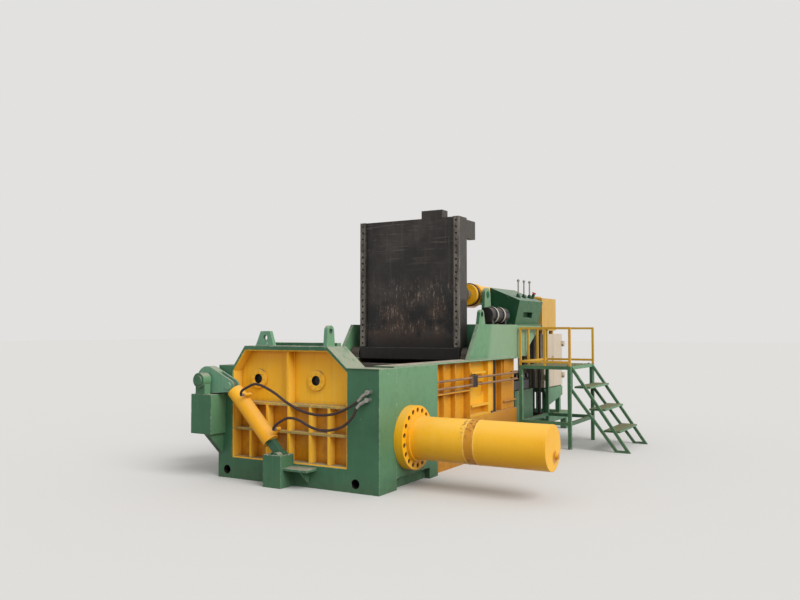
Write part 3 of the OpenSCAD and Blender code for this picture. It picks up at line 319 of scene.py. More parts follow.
# the main cylinder's marks, as places along it in metres
seam = {
    "band": (1.545, 1.625), "bandTone": paint(196, 126, 34),
    "blotch": (1.50, 1.63), "blotchTone": paint(134, 88, 46),
    "nearRim": (1.53, 1.542, 0.005), "farRim": (1.628, 1.638, 0.004),   # from, to, softness
    "rimTone": paint(252, 214, 130),
    "discStart": 2.2, "smearAt": (2.28, 0.47, 0.36), "smearReach": 0.075,
    "smearTone": paint(176, 104, 40),
}


# a rubbed brown band at the weld seam, blotched at its top and foot, with a pale line at each
# edge; and a brown smear low on the end disc
def seamBand(kit, tone, mottle, picks):
    along = kit.across + (mottle - 0.5) * 0.03
    front = kit.ramp(kit.deep, 0.62, 0.45)
    tone = kit.mix(kit.band(along, *seam["band"], 0.006) * front * 0.75, tone, seam["bandTone"])
    blotch = kit.band(along, *seam["blotch"], 0.01) * front * kit.ramp(picks, 0.50, 0.57)
    topAndFoot = kit.ramp(kit.height, 0.44, 0.58) + kit.ramp(kit.height, 0.36, 0.29)
    tone = kit.mix(blotch * topAndFoot * 0.8, tone, seam["blotchTone"])
    rims = kit.larger(kit.band(along, *seam["farRim"]), kit.band(along, *seam["nearRim"]))
    tone = kit.mix(rims * kit.ramp(picks, 0.40, 0.52) * 0.6, tone, seam["rimTone"])
    disc = kit.ramp(kit.right, 0.6, 0.95)
    disc = disc * kit.ramp(kit.across, seam["discStart"], seam["discStart"] + 0.05)
    away = kit.vector("DISTANCE", kit.place, seam["smearAt"], out="Value")
    low = kit.ramp(away, seam["smearReach"], 0.4 * seam["smearReach"])
    return kit.mix(disc * low * 0.8, tone, seam["smearTone"])


turnEye = {"pin": (-0.085, 0.27), "reach": 0.18, "tone": paint(56, 96, 72)}


# the turn-out cylinder's lower eye is green, within a set distance of its foot pin
def greenEye(kit, tone, mottle, picks):
    away = kit.awayFrom(*turnEye["pin"])
    return kit.mix(kit.ramp(away, turnEye["reach"] + 0.002, turnEye["reach"] - 0.002), tone,
                   turnEye["tone"])


# the lid's tones and the heights at which its marks begin and end, in metres
lidMarks = {
    "blotch": paint(20, 17, 16), "worn": paint(68, 63, 60), "smear": paint(98, 92, 87),
    "paleStreak": paint(84, 78, 72), "darkStreak": paint(18, 17, 16), "rust": paint(64, 44, 32),
    "soot": paint(11, 10, 10), "rustFleck": paint(96, 64, 50), "paleFleck": paint(142, 132, 122),
    "foot": paint(15, 13, 12), "side": paint(76, 72, 67), "lowSide": paint(38, 38, 32),
    "smearsFrom": (2.1, 2.45), "rustBelow": (1.95, 1.55), "flecksBelow": (2.1, 1.85),
    "flecksAbove": (1.3, 1.5), "footBelow": (1.42, 1.22),
    "sideAbove": (1.72, 1.80), "sideBelow": (1.78, 1.70),
}


# the lid's face: pale smears across its top, faint upright streaks in the middle, rust, soot and
# scraped flecks in the lower third, a near black foot, and a plain grey-brown side that darkens
# downwards
def lidFace(kit, tone, mottle, patch):
    marks = lidMarks
    front = kit.ramp(kit.back, -0.5, -0.9)
    blotch = kit.noise(2.6, 4.0, 0.6)
    tone = kit.mix(kit.ramp(blotch, 0.52, 0.38) * front * 0.6, tone, marks["blotch"])
    tone = kit.mix(kit.ramp(blotch, 0.50, 0.62) * front * 0.4, tone, marks["worn"])
    smear = kit.ramp(kit.noise(1.0, 6.0, 0.66, (3.0, 3.0, 30.0)), 0.52, 0.68)
    top = kit.ramp(kit.height, *marks["smearsFrom"])
    tone = kit.mix(smear * (0.10 + top * 0.5) * front, tone, marks["smear"])
    streak = kit.noise(1.0, 4.0, 0.6, (26.0, 26.0, 1.4))
    tone = kit.mix(kit.ramp(streak, 0.54, 0.74) * front * 0.45, tone, marks["paleStreak"])
    tone = kit.mix(kit.ramp(streak, 0.44, 0.26) * front * 0.6, tone, marks["darkStreak"])
    low = kit.ramp(kit.height, *marks["rustBelow"]) * front
    clump = kit.noise(3.2, 4.0, 0.6)
    tone = kit.mix(kit.ramp(clump, 0.48, 0.62) * low * 0.6, tone, marks["rust"])
    tone = kit.mix(kit.ramp(clump, 0.56, 0.42) * low * 0.94, tone, marks["soot"])
    scrape = kit.noise(1.0, 5.0, 0.75, (60.0, 60.0, 12.0))
    rubbed = kit.ramp(kit.height, *marks["flecksBelow"]) * kit.ramp(kit.height, *marks["flecksAbove"])
    fleck = kit.mix(kit.ramp(mottle, 0.42, 0.52), marks["rustFleck"], marks["paleFleck"])
    flecks = kit.ramp(scrape + clump * 0.6, 0.88, 0.99) * (rubbed * front) * 0.8
    tone = kit.mix(flecks, tone, fleck)
    tone = kit.mix(kit.ramp(kit.height, *marks["footBelow"]) * front * 0.85, tone, marks["foot"])
    side = kit.ramp(kit.right, 0.6, 0.9)
    tone = kit.mix(side * kit.ramp(kit.height, *marks["sideAbove"]) * 0.8, tone, marks["side"])
    return kit.mix(side * kit.ramp(kit.height, *marks["sideBelow"]) * 0.7, tone, marks["lowSide"])


# the lid's blades: the place of their inner edge and their holes on both sides of the middle
bladeMarks = {
    "innerEdge": (0.580, 0.592), "edgeTone": paint(22, 20, 18), "scrape": paint(122, 116, 107),
    "holesAt": 0.619, "holesFrom": 1.225, "holeStep": 0.07325, "holeRadius": 0.014,
    "oil": paint(10, 9, 8),
}


# the blades are scraped pale and dark along their inner edge, and their holes are painted near
# black: the height is counted in hole steps, and its fraction says how far the nearest hole is
def bladeFace(kit, tone, mottle, patch):
    marks = bladeMarks
    scrape = kit.noise(1.0, 4.0, 0.7, (30.0, 30.0, 5.0))
    tone = kit.mix(kit.ramp(scrape, 0.42, 0.58) * 0.85, tone, marks["scrape"])
    inner = kit.band(abs(kit.across), *marks["innerEdge"], 0.004)
    tone = kit.mix(inner * 0.8, tone, marks["edgeTone"])
    count = (kit.height - marks["holesFrom"]) * (1 / marks["holeStep"])
    above = (kit.node("ShaderNodeMath", {"operation": "FRACT"}, {0: count}) - 0.5) * marks["holeStep"]
    away = ((abs(kit.across) - marks["holesAt"]) ** 2 + above ** 2) ** 0.5
    hole = kit.ramp(away + (mottle - 0.5) * 0.01, marks["holeRadius"] + 0.0025,
                    marks["holeRadius"] - 0.0025)
    return kit.mix(hole, tone, marks["oil"])


# the round holes in the front, as across and height, and their radius
frontMarks = {
    "towHoles": [(-0.802, 0.08), (0.673, 0.08)], "towRadius": 0.042,
    "bossHoles": [(-0.504, 0.955), (0.174, 0.955)], "bossRadius": 0.0455,
    "holeTone": paint(14, 12, 10),
}


# a point is in a hole, which is painted black inside as the shade deep in it, where its distance
# from the hole's axis is less than the hole's radius
def darkHoles(kit, tone, places, radius):
    for place in places:
        inside = kit.ramp(kit.awayFrom(*place), radius + 0.002, radius - 0.001)
        tone = kit.mix(inside, tone, frontMarks["holeTone"])
    return tone


def frontHoles(kit, tone, mottle, picks):
    return darkHoles(kit, tone, frontMarks["towHoles"], frontMarks["towRadius"])


# the bay's two long ribs as heights, its front and back as places along Y
bayMarks = {
    "upperRib": (0.715, 0.737), "lowerRib": (0.465, 0.487), "ribTone": paint(134, 136, 100),
    "ribFront": -0.070, "cellBack": 0.009, "cellTone": paint(150, 74, 8),
    "flankTone": paint(255, 208, 92),
}


# the bay's two long ribs are grey with dust along their front edges, the backs of its cells get a
# brown painted shade, the rib faces on the light's side a painted highlight, and the bosses' holes are
# painted black as shade
def dustyRibs(kit, tone, mottle, picks):
    marks = bayMarks
    ribs = kit.larger(kit.band(kit.height, *marks["upperRib"], 0.001),
                      kit.band(kit.height, *marks["lowerRib"], 0.001))
    front = kit.ramp(kit.deep, marks["ribFront"], marks["ribFront"] - 0.003)
    front = front * kit.ramp(mottle, 0.25, 0.5)
    tone = kit.mix(ribs * front * 0.8, tone, marks["ribTone"])
    # painted shade: the backs of the cells below the upper rib are darkened brown
    cellShade = kit.ramp(kit.deep, marks["cellBack"] - 0.003, marks["cellBack"])
    cellShade = cellShade * kit.ramp(kit.height, 0.72, 0.71)
    tone = kit.mix(cellShade * (0.35 + 0.5 * mottle), tone, marks["cellTone"])
    # painted highlight: rib faces towards +X, the light's side, are made paler below the top
    ribHighlight = kit.ramp(kit.right, 0.6, 0.9) * kit.ramp(kit.height, 1.22, 1.0)
    tone = kit.mix(ribHighlight * 0.5, tone, marks["flankTone"])
    return darkHoles(kit, tone, frontMarks["bossHoles"], frontMarks["bossRadius"])


# the side walls: where their bright middle lies along Y, and how far out their inner faces are
wallMarks = {
    "middle": (1.86, 2.47), "beamTop": 0.475, "middleTone": paint(250, 192, 46),
    "rearFrom": (2.3, 2.8), "rearTone": paint(172, 98, 20),
    "footTone": paint(120, 74, 28), "inside": (0.69, 0.68),
    "innerTones": (paint(70, 62, 54), paint(104, 88, 72)),
}


# the walls are brighter between their cut-out and the upright pipes, and browner behind those and
# near the ground; their inner faces, where the rams pass, are bare and dark
def wallFace(kit, tone, mottle, picks):
    marks = wallMarks
    middle = kit.band(kit.deep, *marks["middle"], 0.02)
    middle = middle * kit.ramp(kit.height, marks["beamTop"] - 0.003, marks["beamTop"] + 0.003)
    tone = kit.mix(middle * (0.45 + 0.4 * mottle), tone, marks["middleTone"])
    rear = kit.ramp(kit.deep, *marks["rearFrom"])
    tone = kit.mix(rear * (0.8 - mottle), tone, marks["rearTone"])
    foot = kit.ramp(kit.right, 0.5, 0.9) * kit.ramp(kit.height, 0.60, 0.30)
    tone = kit.mix(foot * 0.5, tone, marks["footTone"])
    inner = kit.ramp(abs(kit.across), *marks["inside"])
    return kit.mix(inner, tone, kit.mix(kit.ramp(mottle, 0.4, 0.6), *marks["innerTones"]))


# the two upright pipes lie further in than the side pipes; the clamp's place is along Y
pipeMarks = {"uprightsInside": 0.8425, "clamp": (1.811, 1.934), "tone": paint(20, 16, 15)}


# the two upright pipes and the clamp beside them are near black
def darkUprights(kit, tone, mottle, patch):
    edge = pipeMarks["uprightsInside"]
    upright = kit.ramp(kit.across, edge + 0.0025, edge - 0.0025)
    clamp = kit.band(kit.deep, *pipeMarks["clamp"], 0.001)
    return kit.mix(kit.larger(upright, clamp) * 0.95, tone, pipeMarks["tone"])


lidPins = {"cylinderAt": 0.315, "reach": 0.1455, "tone": paint(60, 104, 76)}


# the pins that carry a lid cylinder are green, beyond a set distance from its middle
def greenPins(kit, tone, mottle, picks):
    aside = abs(abs(kit.across) - lidPins["cylinderAt"])
    pins = kit.ramp(aside, lidPins["reach"] - 0.0015, lidPins["reach"] + 0.0015)
    return kit.mix(pins, tone, lidPins["tone"])


valveRings = {
    "front": (2.742, 2.780), "rear": (2.952, 2.990), "bottom": 1.50, "tone": paint(176, 172, 162),
}


# the valve body carries two steel rings at set places along it
def steelRings(kit, tone, mottle, picks):
    rings = kit.larger(kit.band(kit.deep, *valveRings["front"], 0.001),
                       kit.band(kit.deep, *valveRings["rear"], 0.001))
    above = kit.ramp(kit.height, valveRings["bottom"], valveRings["bottom"] + 0.02)
    return kit.mix(rings * above, tone, valveRings["tone"])


wingMarks = {"slant": 0.25, "fadeFrom": 2.02, "fadeTo": 2.16, "tone": paint(150, 176, 144)}


# the wing plates' faces towards +X are paler behind a slanted line
def wingPale(kit, tone, mottle, picks):
    line = kit.deep - wingMarks["slant"] * kit.height + (mottle - 0.5) * 0.15
    pale = kit.ramp(line, wingMarks["fadeFrom"], wingMarks["fadeTo"]) * kit.ramp(kit.right, 0.5, 0.9)
    return kit.mix(pale * 0.6, tone, wingMarks["tone"])


# the paints: every one is the green or the yellow look with some of it changed
greenLook = {
    "paint": paint(52, 96, 68), "faded": paint(66, 114, 84), "deep": paint(44, 80, 58),
    "stain": paint(34, 54, 42), "dustTone": paint(166, 162, 144), "soilTone": paint(96, 92, 74),
    "primer": paint(150, 182, 156), "bare": paint(206, 210, 200), "rust": paint(122, 96, 74),
    "bleached": paint(112, 158, 118), "bleaching": 0.85, "bleachLow": 0.0,
    "dust": 0.8, "soil": 0.35, "streaks": 0.08, "runs": 0.05, "edgeWear": 0.3, "chipScale": 15.0,
}
yellowLook = {
    "paint": paint(240, 170, 18), "faded": paint(246, 182, 34), "deep": paint(226, 148, 14),
    "stain": paint(150, 84, 22), "dustTone": paint(206, 176, 124), "soilTone": paint(150, 108, 56),
    "primer": paint(250, 222, 150), "bare": paint(120, 92, 66), "rust": paint(110, 66, 36),
    "bleached": paint(250, 190, 60), "bleaching": 0.3,
    "dust": 0.45, "soil": 0.3, "mottling": 0.15, "streaks": 0.12, "runs": 0.1, "edgeWear": 0.1,
    "rough": 0.3, "orangePeel": 0.08,
}
wallLook = {**yellowLook, "paint": paint(228, 158, 30), "faded": paint(222, 158, 42),
            "deep": paint(190, 116, 20), "stain": paint(120, 62, 16), "dustTone": paint(176, 160, 130),
            "primer": paint(240, 200, 110), "mottling": 0.3, "streaks": 0.4, "grime": 0.8,
            "dust": 0.95, "edgeWear": 0.22, "bleaching": 0.0, "rough": 0.42, "extra": wallFace}
paintLooks = {
    "greenPaint": greenLook,
    "frontGreen": {**greenLook, "extra": frontHoles},
    "housingGreen": {**greenLook, "paint": paint(60, 106, 78), "faded": paint(76, 124, 94),
                     "bleachLow": 1.2, "extra": wingPale, "chipScale": 12.0,
                     "bare": paint(150, 176, 158)},
    "consoleGreen": {**greenLook, "paint": paint(14, 58, 34), "faded": paint(24, 70, 44),
                     "bleached": paint(74, 120, 82), "bleaching": 0.7, "mottling": 0.3, "dust": 0.85,
                     "dustTone": paint(138, 154, 138), "bare": paint(28, 34, 28), "chipScale": 11.0},
    "lugGreen": {**greenLook, "paint": paint(92, 140, 112), "faded": paint(108, 156, 128),
                 "streaks": 0.3},
    "stepGreen": {**greenLook, "paint": paint(60, 104, 76), "faded": paint(80, 126, 94),
                  "dustTone": paint(116, 112, 78), "edgeWear": 0.14, "dust": 0.95},
    "ledgeGreen": {**greenLook, "dust": 1.0, "dustTone": paint(178, 164, 148)},
    "yellowPaint": yellowLook,
    "lidCylinderPaint": {**yellowLook, "extra": greenPins},
    "cylinderPaint": {**yellowLook, "paint": paint(248, 180, 22), "faded": paint(250, 188, 36),
                      "dust": 0.35, "dustTone": paint(236, 196, 120), "edgeWear": 0.08, "soil": 0.1,
                      "mottling": 0.05, "extra": seamBand},
    "turnPaint": {**yellowLook, "extra": greenEye, "soil": 0.0},
    "bayPaint": {**yellowLook, "paint": paint(250, 188, 36), "faded": paint(252, 196, 52),
                 "deep": paint(240, 168, 24), "grime": 0.85, "corner": 0.09, "stain": paint(140, 68, 8),
                 "dustTone": paint(150, 148, 122), "dust": 0.95, "edgeWear": 0.16, "soil": 0.15,
                 "extra": dustyRibs},
    "wallPaint": wallLook,
    "railPaint": {**yellowLook, "paint": paint(206, 158, 46), "faded": paint(214, 170, 64),
                  "edgeWear": 0.1},
    "beigePaint": {**greenLook, "paint": paint(206, 194, 174), "faded": paint(216, 205, 186),
                   "deep": paint(188, 176, 156), "stain": paint(132, 116, 94),
                   "primer": paint(222, 214, 200), "bare": paint(150, 140, 126),
                   "bleached": paint(208, 192, 170), "edgeWear": 0.1, "dust": 0.4, "streaks": 0.3},
    "tanPaint": {**yellowLook, "paint": paint(190, 152, 70), "faded": paint(198, 162, 84),
                 "deep": paint(168, 130, 58), "streaks": 0.25},
    "blackPaint": {**greenLook, "paint": paint(36, 34, 35), "faded": paint(50, 47, 48),
                   "deep": paint(22, 21, 22), "primer": paint(96, 92, 90), "bare": paint(130, 126, 120),
                   "stain": paint(18, 17, 16), "dustTone": paint(118, 108, 98), "bleaching": 0.0,
                   "rough": 0.24, "edgeWear": 0.16, "dust": 0.5},
}
paintLooks["valvePaint"] = {**paintLooks["blackPaint"], "extra": steelRings}
steelLooks = {
    "lidSteel": {"dark": paint(34, 31, 30), "brown": paint(46, 41, 38), "rust": paint(56, 44, 36),
                 "bright": paint(120, 113, 104), "deep": paint(16, 15, 14), "scratches": 0.06,
                 "extra": lidFace},
    "bladeSteel": {"dark": paint(60, 56, 52), "brown": paint(76, 70, 64), "rust": paint(84, 66, 52),
                   "bright": paint(158, 150, 140), "deep": paint(18, 16, 15), "extra": bladeFace},
    "armSteel": {"dark": paint(58, 54, 50), "brown": paint(78, 70, 63), "rust": paint(92, 70, 54),
                 "bright": paint(150, 142, 132), "deep": paint(26, 23, 21)},
    "wornSteel": {"dark": paint(88, 84, 80), "brown": paint(104, 92, 80), "rust": paint(112, 78, 54),
                  "bright": paint(176, 172, 164), "deep": paint(34, 30, 27), "rough": 0.38},
    "pipeSteel": {"dark": paint(140, 108, 80), "brown": paint(158, 124, 92), "rust": paint(118, 74, 46),
                  "bright": paint(216, 194, 166), "deep": paint(62, 44, 32), "grain": (60.0, 3.0, 60.0),
                  "scratches": 0.5, "extra": darkUprights},
    "boltSteel": {"dark": paint(56, 42, 30), "brown": paint(74, 54, 36), "rust": paint(98, 62, 36),
                  "bright": paint(150, 130, 104), "deep": paint(24, 18, 14), "roundEdge": 0.002},
}
groundLooks = {
    "rodSteel": {"steel": paint(186, 188, 190), "stain": paint(128, 120, 108),
                 "bright": paint(226, 226, 224), "grain": (40.0, 900.0, 40.0)},
    "fittingSteel": {"steel": paint(158, 158, 152), "stain": paint(120, 112, 100),
                     "bright": paint(228, 228, 224), "rough": 0.28, "grain": (200.0, 200.0, 200.0),
                     "metal": 0.7},
}
skinLooks = {
    "hoseRubber": {"skin": paint(44, 27, 26), "bloom": paint(62, 40, 37),
                   "dustTone": paint(110, 84, 76), "dust": 0.15, "rough": 0.5},
    "redPlastic": {"skin": paint(196, 36, 28), "bloom": paint(168, 30, 26),
                   "dustTone": paint(190, 110, 96), "rough": 0.3},
}
finishes = {name: paintedSteel(name, look) for name, look in paintLooks.items()}
finishes.update({name: scaleSteel(name, look) for name, look in steelLooks.items()})
finishes.update({name: groundSteel(name, look) for name, look in groundLooks.items()})
finishes.update({name: mouldedSkin(name, look) for name, look in skinLooks.items()})
print("finishes made:", len(finishes))

# every node that isn't named here is in plain green paint
nodesOfFinish = {
    "lugGreen": "lifting_lugs turn_crank",
    "frontGreen": "front_frame",
    "housingGreen": "rear_housing rear_lugs trunnion_bearings",
    "consoleGreen": "console",
    "stepGreen": "platform_deck platform_legs stairs power_skid oil_tank",
    "ledgeGreen": "wall_ledges",
    "yellowPaint": "feed_cylinder",
    "lidCylinderPaint": "lid_barrel_right lid_barrel_left",
    "cylinderPaint": "main_cylinder",
    "turnPaint": "turn_barrel",
    "bayPaint": "front_bay",
    "wallPaint": "right_wall left_wall",
    "railPaint": "platform_railing",
    "beigePaint": "cabinet_body cabinet_door_left cabinet_door_right",
    "tanPaint": "header_tank",
    "blackPaint": "pump_motor valve_stack riser_pipes",
    "valvePaint": "valve_body",
    "lidSteel": "lid_plate",
    "bladeSteel": "lid_blades",
    "armSteel": "lid_arms hinge_bearings",
    "wornSteel": "shear_beam rear_bulkheads turn_door main_ram feed_ram",
    "pipeSteel": "side_pipes",
    "boltSteel": "flange_bolts",
    "rodSteel": "main_rod feed_rod lid_rod_right lid_rod_left turn_rod",
    "fittingSteel": "hose_fittings lever_1 lever_2 lever_3",
    "hoseRubber": "hose_upper hose_lower",
    "redPlastic": "stop_button",
}
finishOfNode = {node: finish for finish, group in nodesOfFinish.items() for node in group.split()}
for name, node in nodeOf.items():
    finish = finishes[finishOfNode.get(name, "greenPaint")]
    if not node.material_slots:
        node.data.materials.append(finish)
    for place in node.material_slots:
        place.material = finish
print("nodes dressed:", len(nodeOf))


# a mesh piece from corner positions and faces, riding on one body, or on none where no body is given
def makePiece(name, corners, faces, finish, body, slot, smooth=True):
    mesh = bpy.data.meshes.new(name)
    mesh.from_pydata(corners.reshape(-1, 3).tolist(), [], [list(f) for f in faces])
    mesh.update()
    mesh.polygons.foreach_set("use_smooth", [smooth] * len(mesh.polygons))
    mesh.materials.append(finishes[finish])
    piece = bpy.data.objects.new(name, mesh)
    scene.collection.objects.link(piece)
    if body:
        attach(piece, body)
    return piece


# quads between the rows of a grid of points that is closed the second way; the first way it
# is closed by end caps, or runs round into itself
def gridFaces(rows, sides, loop=False):
    row, side = np.meshgrid(np.arange(rows if loop else rows - 1), np.arange(sides), indexing="ij")
    here = row * sides + side
    beside = row * sides + (side + 1) % sides
    after = (row + 1) % rows * sides + side
    afterBeside = (row + 1) % rows * sides + (side + 1) % sides
    walls = np.stack([here, beside, afterBeside, after], axis=-1).reshape(-1, 4).tolist()
    if loop:
        return walls
    return walls + [list(range(sides))[::-1], list(range((rows - 1) * sides, rows * sides))]


# a tube: circles of the given radius set square to a path; the across direction is the path's
# direction crossed with a fixed lean
def tubePoints(path, radius, sides, lean, loop=False):
    along = np.roll(path, -1, axis=0) - np.roll(path, 1, axis=0) if loop else np.gradient(path, axis=0)
    along /= np.linalg.norm(along, axis=1, keepdims=True)
    across = np.cross(along, np.array(lean))
    across /= np.linalg.norm(across, axis=1, keepdims=True)
    other = np.cross(along, across)
    turn = np.linspace(0, 2 * np.pi, sides, endpoint=False)
    ring = np.cos(turn)[None, :, None] * across[:, None] + np.sin(turn)[None, :, None] * other[:, None]
    return path[:, None] + np.broadcast_to(np.asarray(radius), (len(path),))[:, None, None] * ring


# points on the smooth curve through a route, evenly many for each span: a cubic between each two
# points, whose slope at a point is half the step from the point before it to the point after it
def smoothRoute(route, steps):
    points = np.array(route, float)
    span = np.arange(len(points) - 1)
    before = points[np.maximum(span - 1, 0)][:, None]
    start = points[span][:, None]
    end = points[span + 1][:, None]
    after = points[np.minimum(span + 2, len(points) - 1)][:, None]
    t = (np.arange(steps) / steps)[None, :, None]
    curve = 0.5 * (2 * start + (end - before) * t + (2 * before - 5 * start + 4 * end - after) * t ** 2
                   + (3 * start - before - 3 * end + after) * t ** 3)
    return np.vstack([curve.reshape(-1, 3), points[-1]])


# many equal turned shapes in one mesh: a profile of (radius, height) rows is swept round an axis
# at each place, and six sides make a hexagon head
def turnedShapes(profile, places, axis, sides):
    profile = np.array(profile, float)
    axis = np.array(axis, float) / np.linalg.norm(axis)
    across = np.cross(axis, (0.3, 0.5, 0.81))
    across /= np.linalg.norm(across)
    other = np.cross(axis, across)
    turn = np.linspace(0, 2 * np.pi, sides, endpoint=False)
    ring = np.cos(turn)[:, None] * across + np.sin(turn)[:, None] * other
    shape = profile[:, 0, None, None] * ring[None] + profile[:, 1, None, None] * axis
    corners = np.array(places, float)[:, None, None] + shape[None]
    single = gridFaces(len(profile), sides)
    count = len(profile) * sides
    faces = [[corner + count * which for corner in face]
             for which in range(len(places)) for face in single]
    return corners, faces


# the two free hoses: their routes are in millimetres, as the part's source has them
hoses = {
    "diameter": 0.024,
    "steps": 10,      # points for each span of the route
    "sides": 16,
    "lean": (0.5, 0.7, -0.5),
    "ferruleRows": 10,
    "ferruleRadius": 0.0148,
    "pinch": 0.0019,
    "pinchPlaces": (0.35, 0.7),   # shares of the ferrule's length
    "pinchWidth": 0.09,
    "upper": [(-470, -262.3, 817), (-468, -298, 822), (-440, -319, 858), (-374, -324, 893),
              (-282, -326, 927), (-192, -319, 911), (-78, -289, 851), (34, -262, 772),
              (161, -239, 708), (285, -219, 676), (407, -199, 671), (520, -189, 692),
              (625, -169, 738), (720, -159, 796), (771, -149, 851)],
    "lower": [(-119, -224.3, 518), (-116, -258, 522), (-80, -279, 558), (4, -284, 610),
              (82, -289, 637), (177, -279, 626), (254, -259, 586), (339, -249, 553),
              (444, -229, 542), (549, -209, 562), (624, -189, 601), (690, -179, 670),
              (719, -169, 737), (749, -159, 779)],
}


# a crimped ferrule: a tube over the first stretch of a line, its radius pinched in at set shares
# of its length
def makeFerrule(name, line, body, look):
    part = line[:look["ferruleRows"]]
    run = np.linspace(0, 1, len(part))
    radius = np.full(len(part), look["ferruleRadius"])
    for place in look["pinchPlaces"]:
        radius -= look["pinch"] * (np.abs(run - place) < look["pinchWidth"])
    makePiece(name, tubePoints(part, radius, look["sides"], look["lean"]),
              gridFaces(len(part), look["sides"]), "fittingSteel", body, "bare_steel")


for which in ("upper", "lower"):
    path = smoothRoute(np.array(hoses[which]) / 1000, hoses["steps"])
    corners = tubePoints(path, hoses["diameter"] / 2, hoses["sides"], hoses["lean"])
    hose = makePiece(which + "Hose", corners, gridFaces(len(path), hoses["sides"]), "hoseRubber",
                     None, "hose_rubber")
    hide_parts("hose_" + which)
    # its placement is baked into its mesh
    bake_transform(hose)
    makeFerrule(which + "FerruleStart", path, "turn_cylinder", hoses)
    makeFerrule(which + "FerruleFinish", path[::-1], "press", hoses)

# weld beads: each line has a finish, a start and an end
welds = {
    "size": 0.007,
    "ripple": 0.016,
    "sides": 6,
    "lean": (0.37, 0.51, 0.77),
    "lines": [
        ("greenPaint", (-0.210, -0.112, 0.0), (-0.210, -0.112, 0.292)),
        ("greenPaint", (-0.007, -0.112, 0.0), (-0.007, -0.112, 0.292)),
        ("greenPaint", (0.0, -0.112, 0.180), (0.26, -0.112, 0.180)),
        ("greenPaint", (0.585, -0.111, 1.080), (0.915, -0.111, 1.080)),
        ("greenPaint", (-0.526, -0.032, 1.271), (-0.306, -0.032, 1.271)),
        ("greenPaint", (0.332, -0.066, 1.271), (0.332, 0.060, 1.271)),
        ("greenPaint", (-0.9, -0.112, 0.23), (-0.9, -0.112, 0.78)),
        ("ledgeGreen", (0.887, 0.20, 1.081), (0.887, 3.22, 1.081)),
        ("housingGreen", (0.857, 1.83, 1.098), (0.857, 3.50, 1.098)),
        ("consoleGreen", (0.857, 3.28, 1.487), (0.857, 4.09, 1.487)),
        ("bayPaint", (-0.113, 0.010, 0.735), (-0.113, 0.010, 1.225)),
        ("bayPaint", (-0.091, 0.010, 0.735), (-0.091, 0.010, 1.225)),
        ("bayPaint", (-0.735, 0.009, 0.737), (0.58, 0.009, 0.737)),
    ],
}


# the beads of one finish as one piece: each is a thin tube along its line, its radius swelling
# in small regular ripples
def makeWelds(look, finish):
    sides = look["sides"]
    corners, faces, count = [], [], 0
    for _, start, end in [line for line in look["lines"] if line[0] == finish]:
        start, end = np.array(start), np.array(end)
        ripples = np.linalg.norm(end - start) / look["ripple"]
        rows = max(6, int(ripples * 4))
        run = np.linspace(0, 1, rows)
        path = start + run[:, None] * (end - start)
        swell = look["size"] * (0.8 + 0.2 * np.abs(np.sin(run * ripples * np.pi)))
        corners.append(tubePoints(path, swell, sides, look["lean"]).reshape(-1, 3))
        faces += [[corner + count for corner in face] for face in gridFaces(rows, sides)]
        count += rows * sides
    makePiece("weld" + finish[0].upper() + finish[1:], np.vstack(corners), faces, finish, "press",
              "yellow_paint" if finish == "bayPaint" else "green_paint")


for finish in sorted({line[0] for line in welds["lines"]}):
    makeWelds(welds, finish)

# rings round the cylinders, each as a name, its place along the cylinder, radius and thickness
rings = {
    "steps": 72,
    "sides": 8,
    "mainAxis": (0.426, 0.4425),
    "mainRings": [("tubeWeld", 1.001, 0.195, 0.006), ("seamWeldNear", 1.535, 0.1935, 0.004),
                  ("seamWeldFar", 1.632, 0.1935, 0.004)],
    "lidAxes": {"Right": 0.315, "Left": -0.315},
    "lidHeight": 1.86,
    "lidRings": [("bandNear", 3.008, 0.135, 0.011), ("bandFar", 3.058, 0.124, 0.010)],
}


# a ring: a tube along a circle of the given radius about an axis
def makeRing(name, centre, axis, radius, thickness, finish, body, slot):
    turn = np.linspace(0, 2 * np.pi, rings["steps"], endpoint=False)
    first = np.cross(axis, (0.3, 0.2, 0.9))
    first /= np.linalg.norm(first)
    second = np.cross(axis, first)
    circle = np.cos(turn)[:, None] * first + np.sin(turn)[:, None] * second
    path = np.array(centre) + radius * circle
    makePiece(name, tubePoints(path, thickness, rings["sides"], axis, loop=True),
              gridFaces(rings["steps"], rings["sides"], loop=True), finish, body, slot)


for name, along, radius, thickness in rings["mainRings"]:
    makeRing(name, (along, *rings["mainAxis"]), (1, 0, 0), radius, thickness,
             "cylinderPaint", "press", "yellow_paint")
for side, across in rings["lidAxes"].items():
    for name, along, radius, thickness in rings["lidRings"]:
        makeRing(name + side, (across, along, rings["lidHeight"]), (0, 1, 0), radius, thickness,
                 "blackPaint", "lid_cylinder_" + side.lower(), "black_paint")

# hexagon heads over washers where plates are bolted down; the head is rows of radius and height
hexHead = [(0.017, 0.0), (0.017, 0.003), (0.0125, 0.003), (0.0125, 0.010), (0.0108, 0.0118),
           (0.004, 0.012)]
boltRows = {
    "bearingBolts": {"slot": "dark_steel", "finish": "boltSteel", "height": 1.125,
                     "across": (-0.765, -0.705, 0.705, 0.765), "deep": (2.006, 2.176)},
    "deckBolts": {"slot": "green_paint", "finish": "stepGreen", "height": 0.985,
                  "across": (0.94, 1.48), "deep": (3.30, 3.60, 3.90, 4.16)},
    "valveBolts": {"slot": "dark_steel", "finish": "boltSteel", "height": 1.485,
                   "across": (0.60, 0.83), "deep": (2.68, 3.08)},
}
for name, row in boltRows.items():
    places = [(x, y, row["height"]) for x in row["across"] for y in row["deep"]]
    corners, faces = turnedShapes(hexHead, places, (0, 0, 1), 6)
    makePiece(name, corners, faces, row["finish"], "press", row["slot"], smooth=False)
print("welds, rings and bolts made")

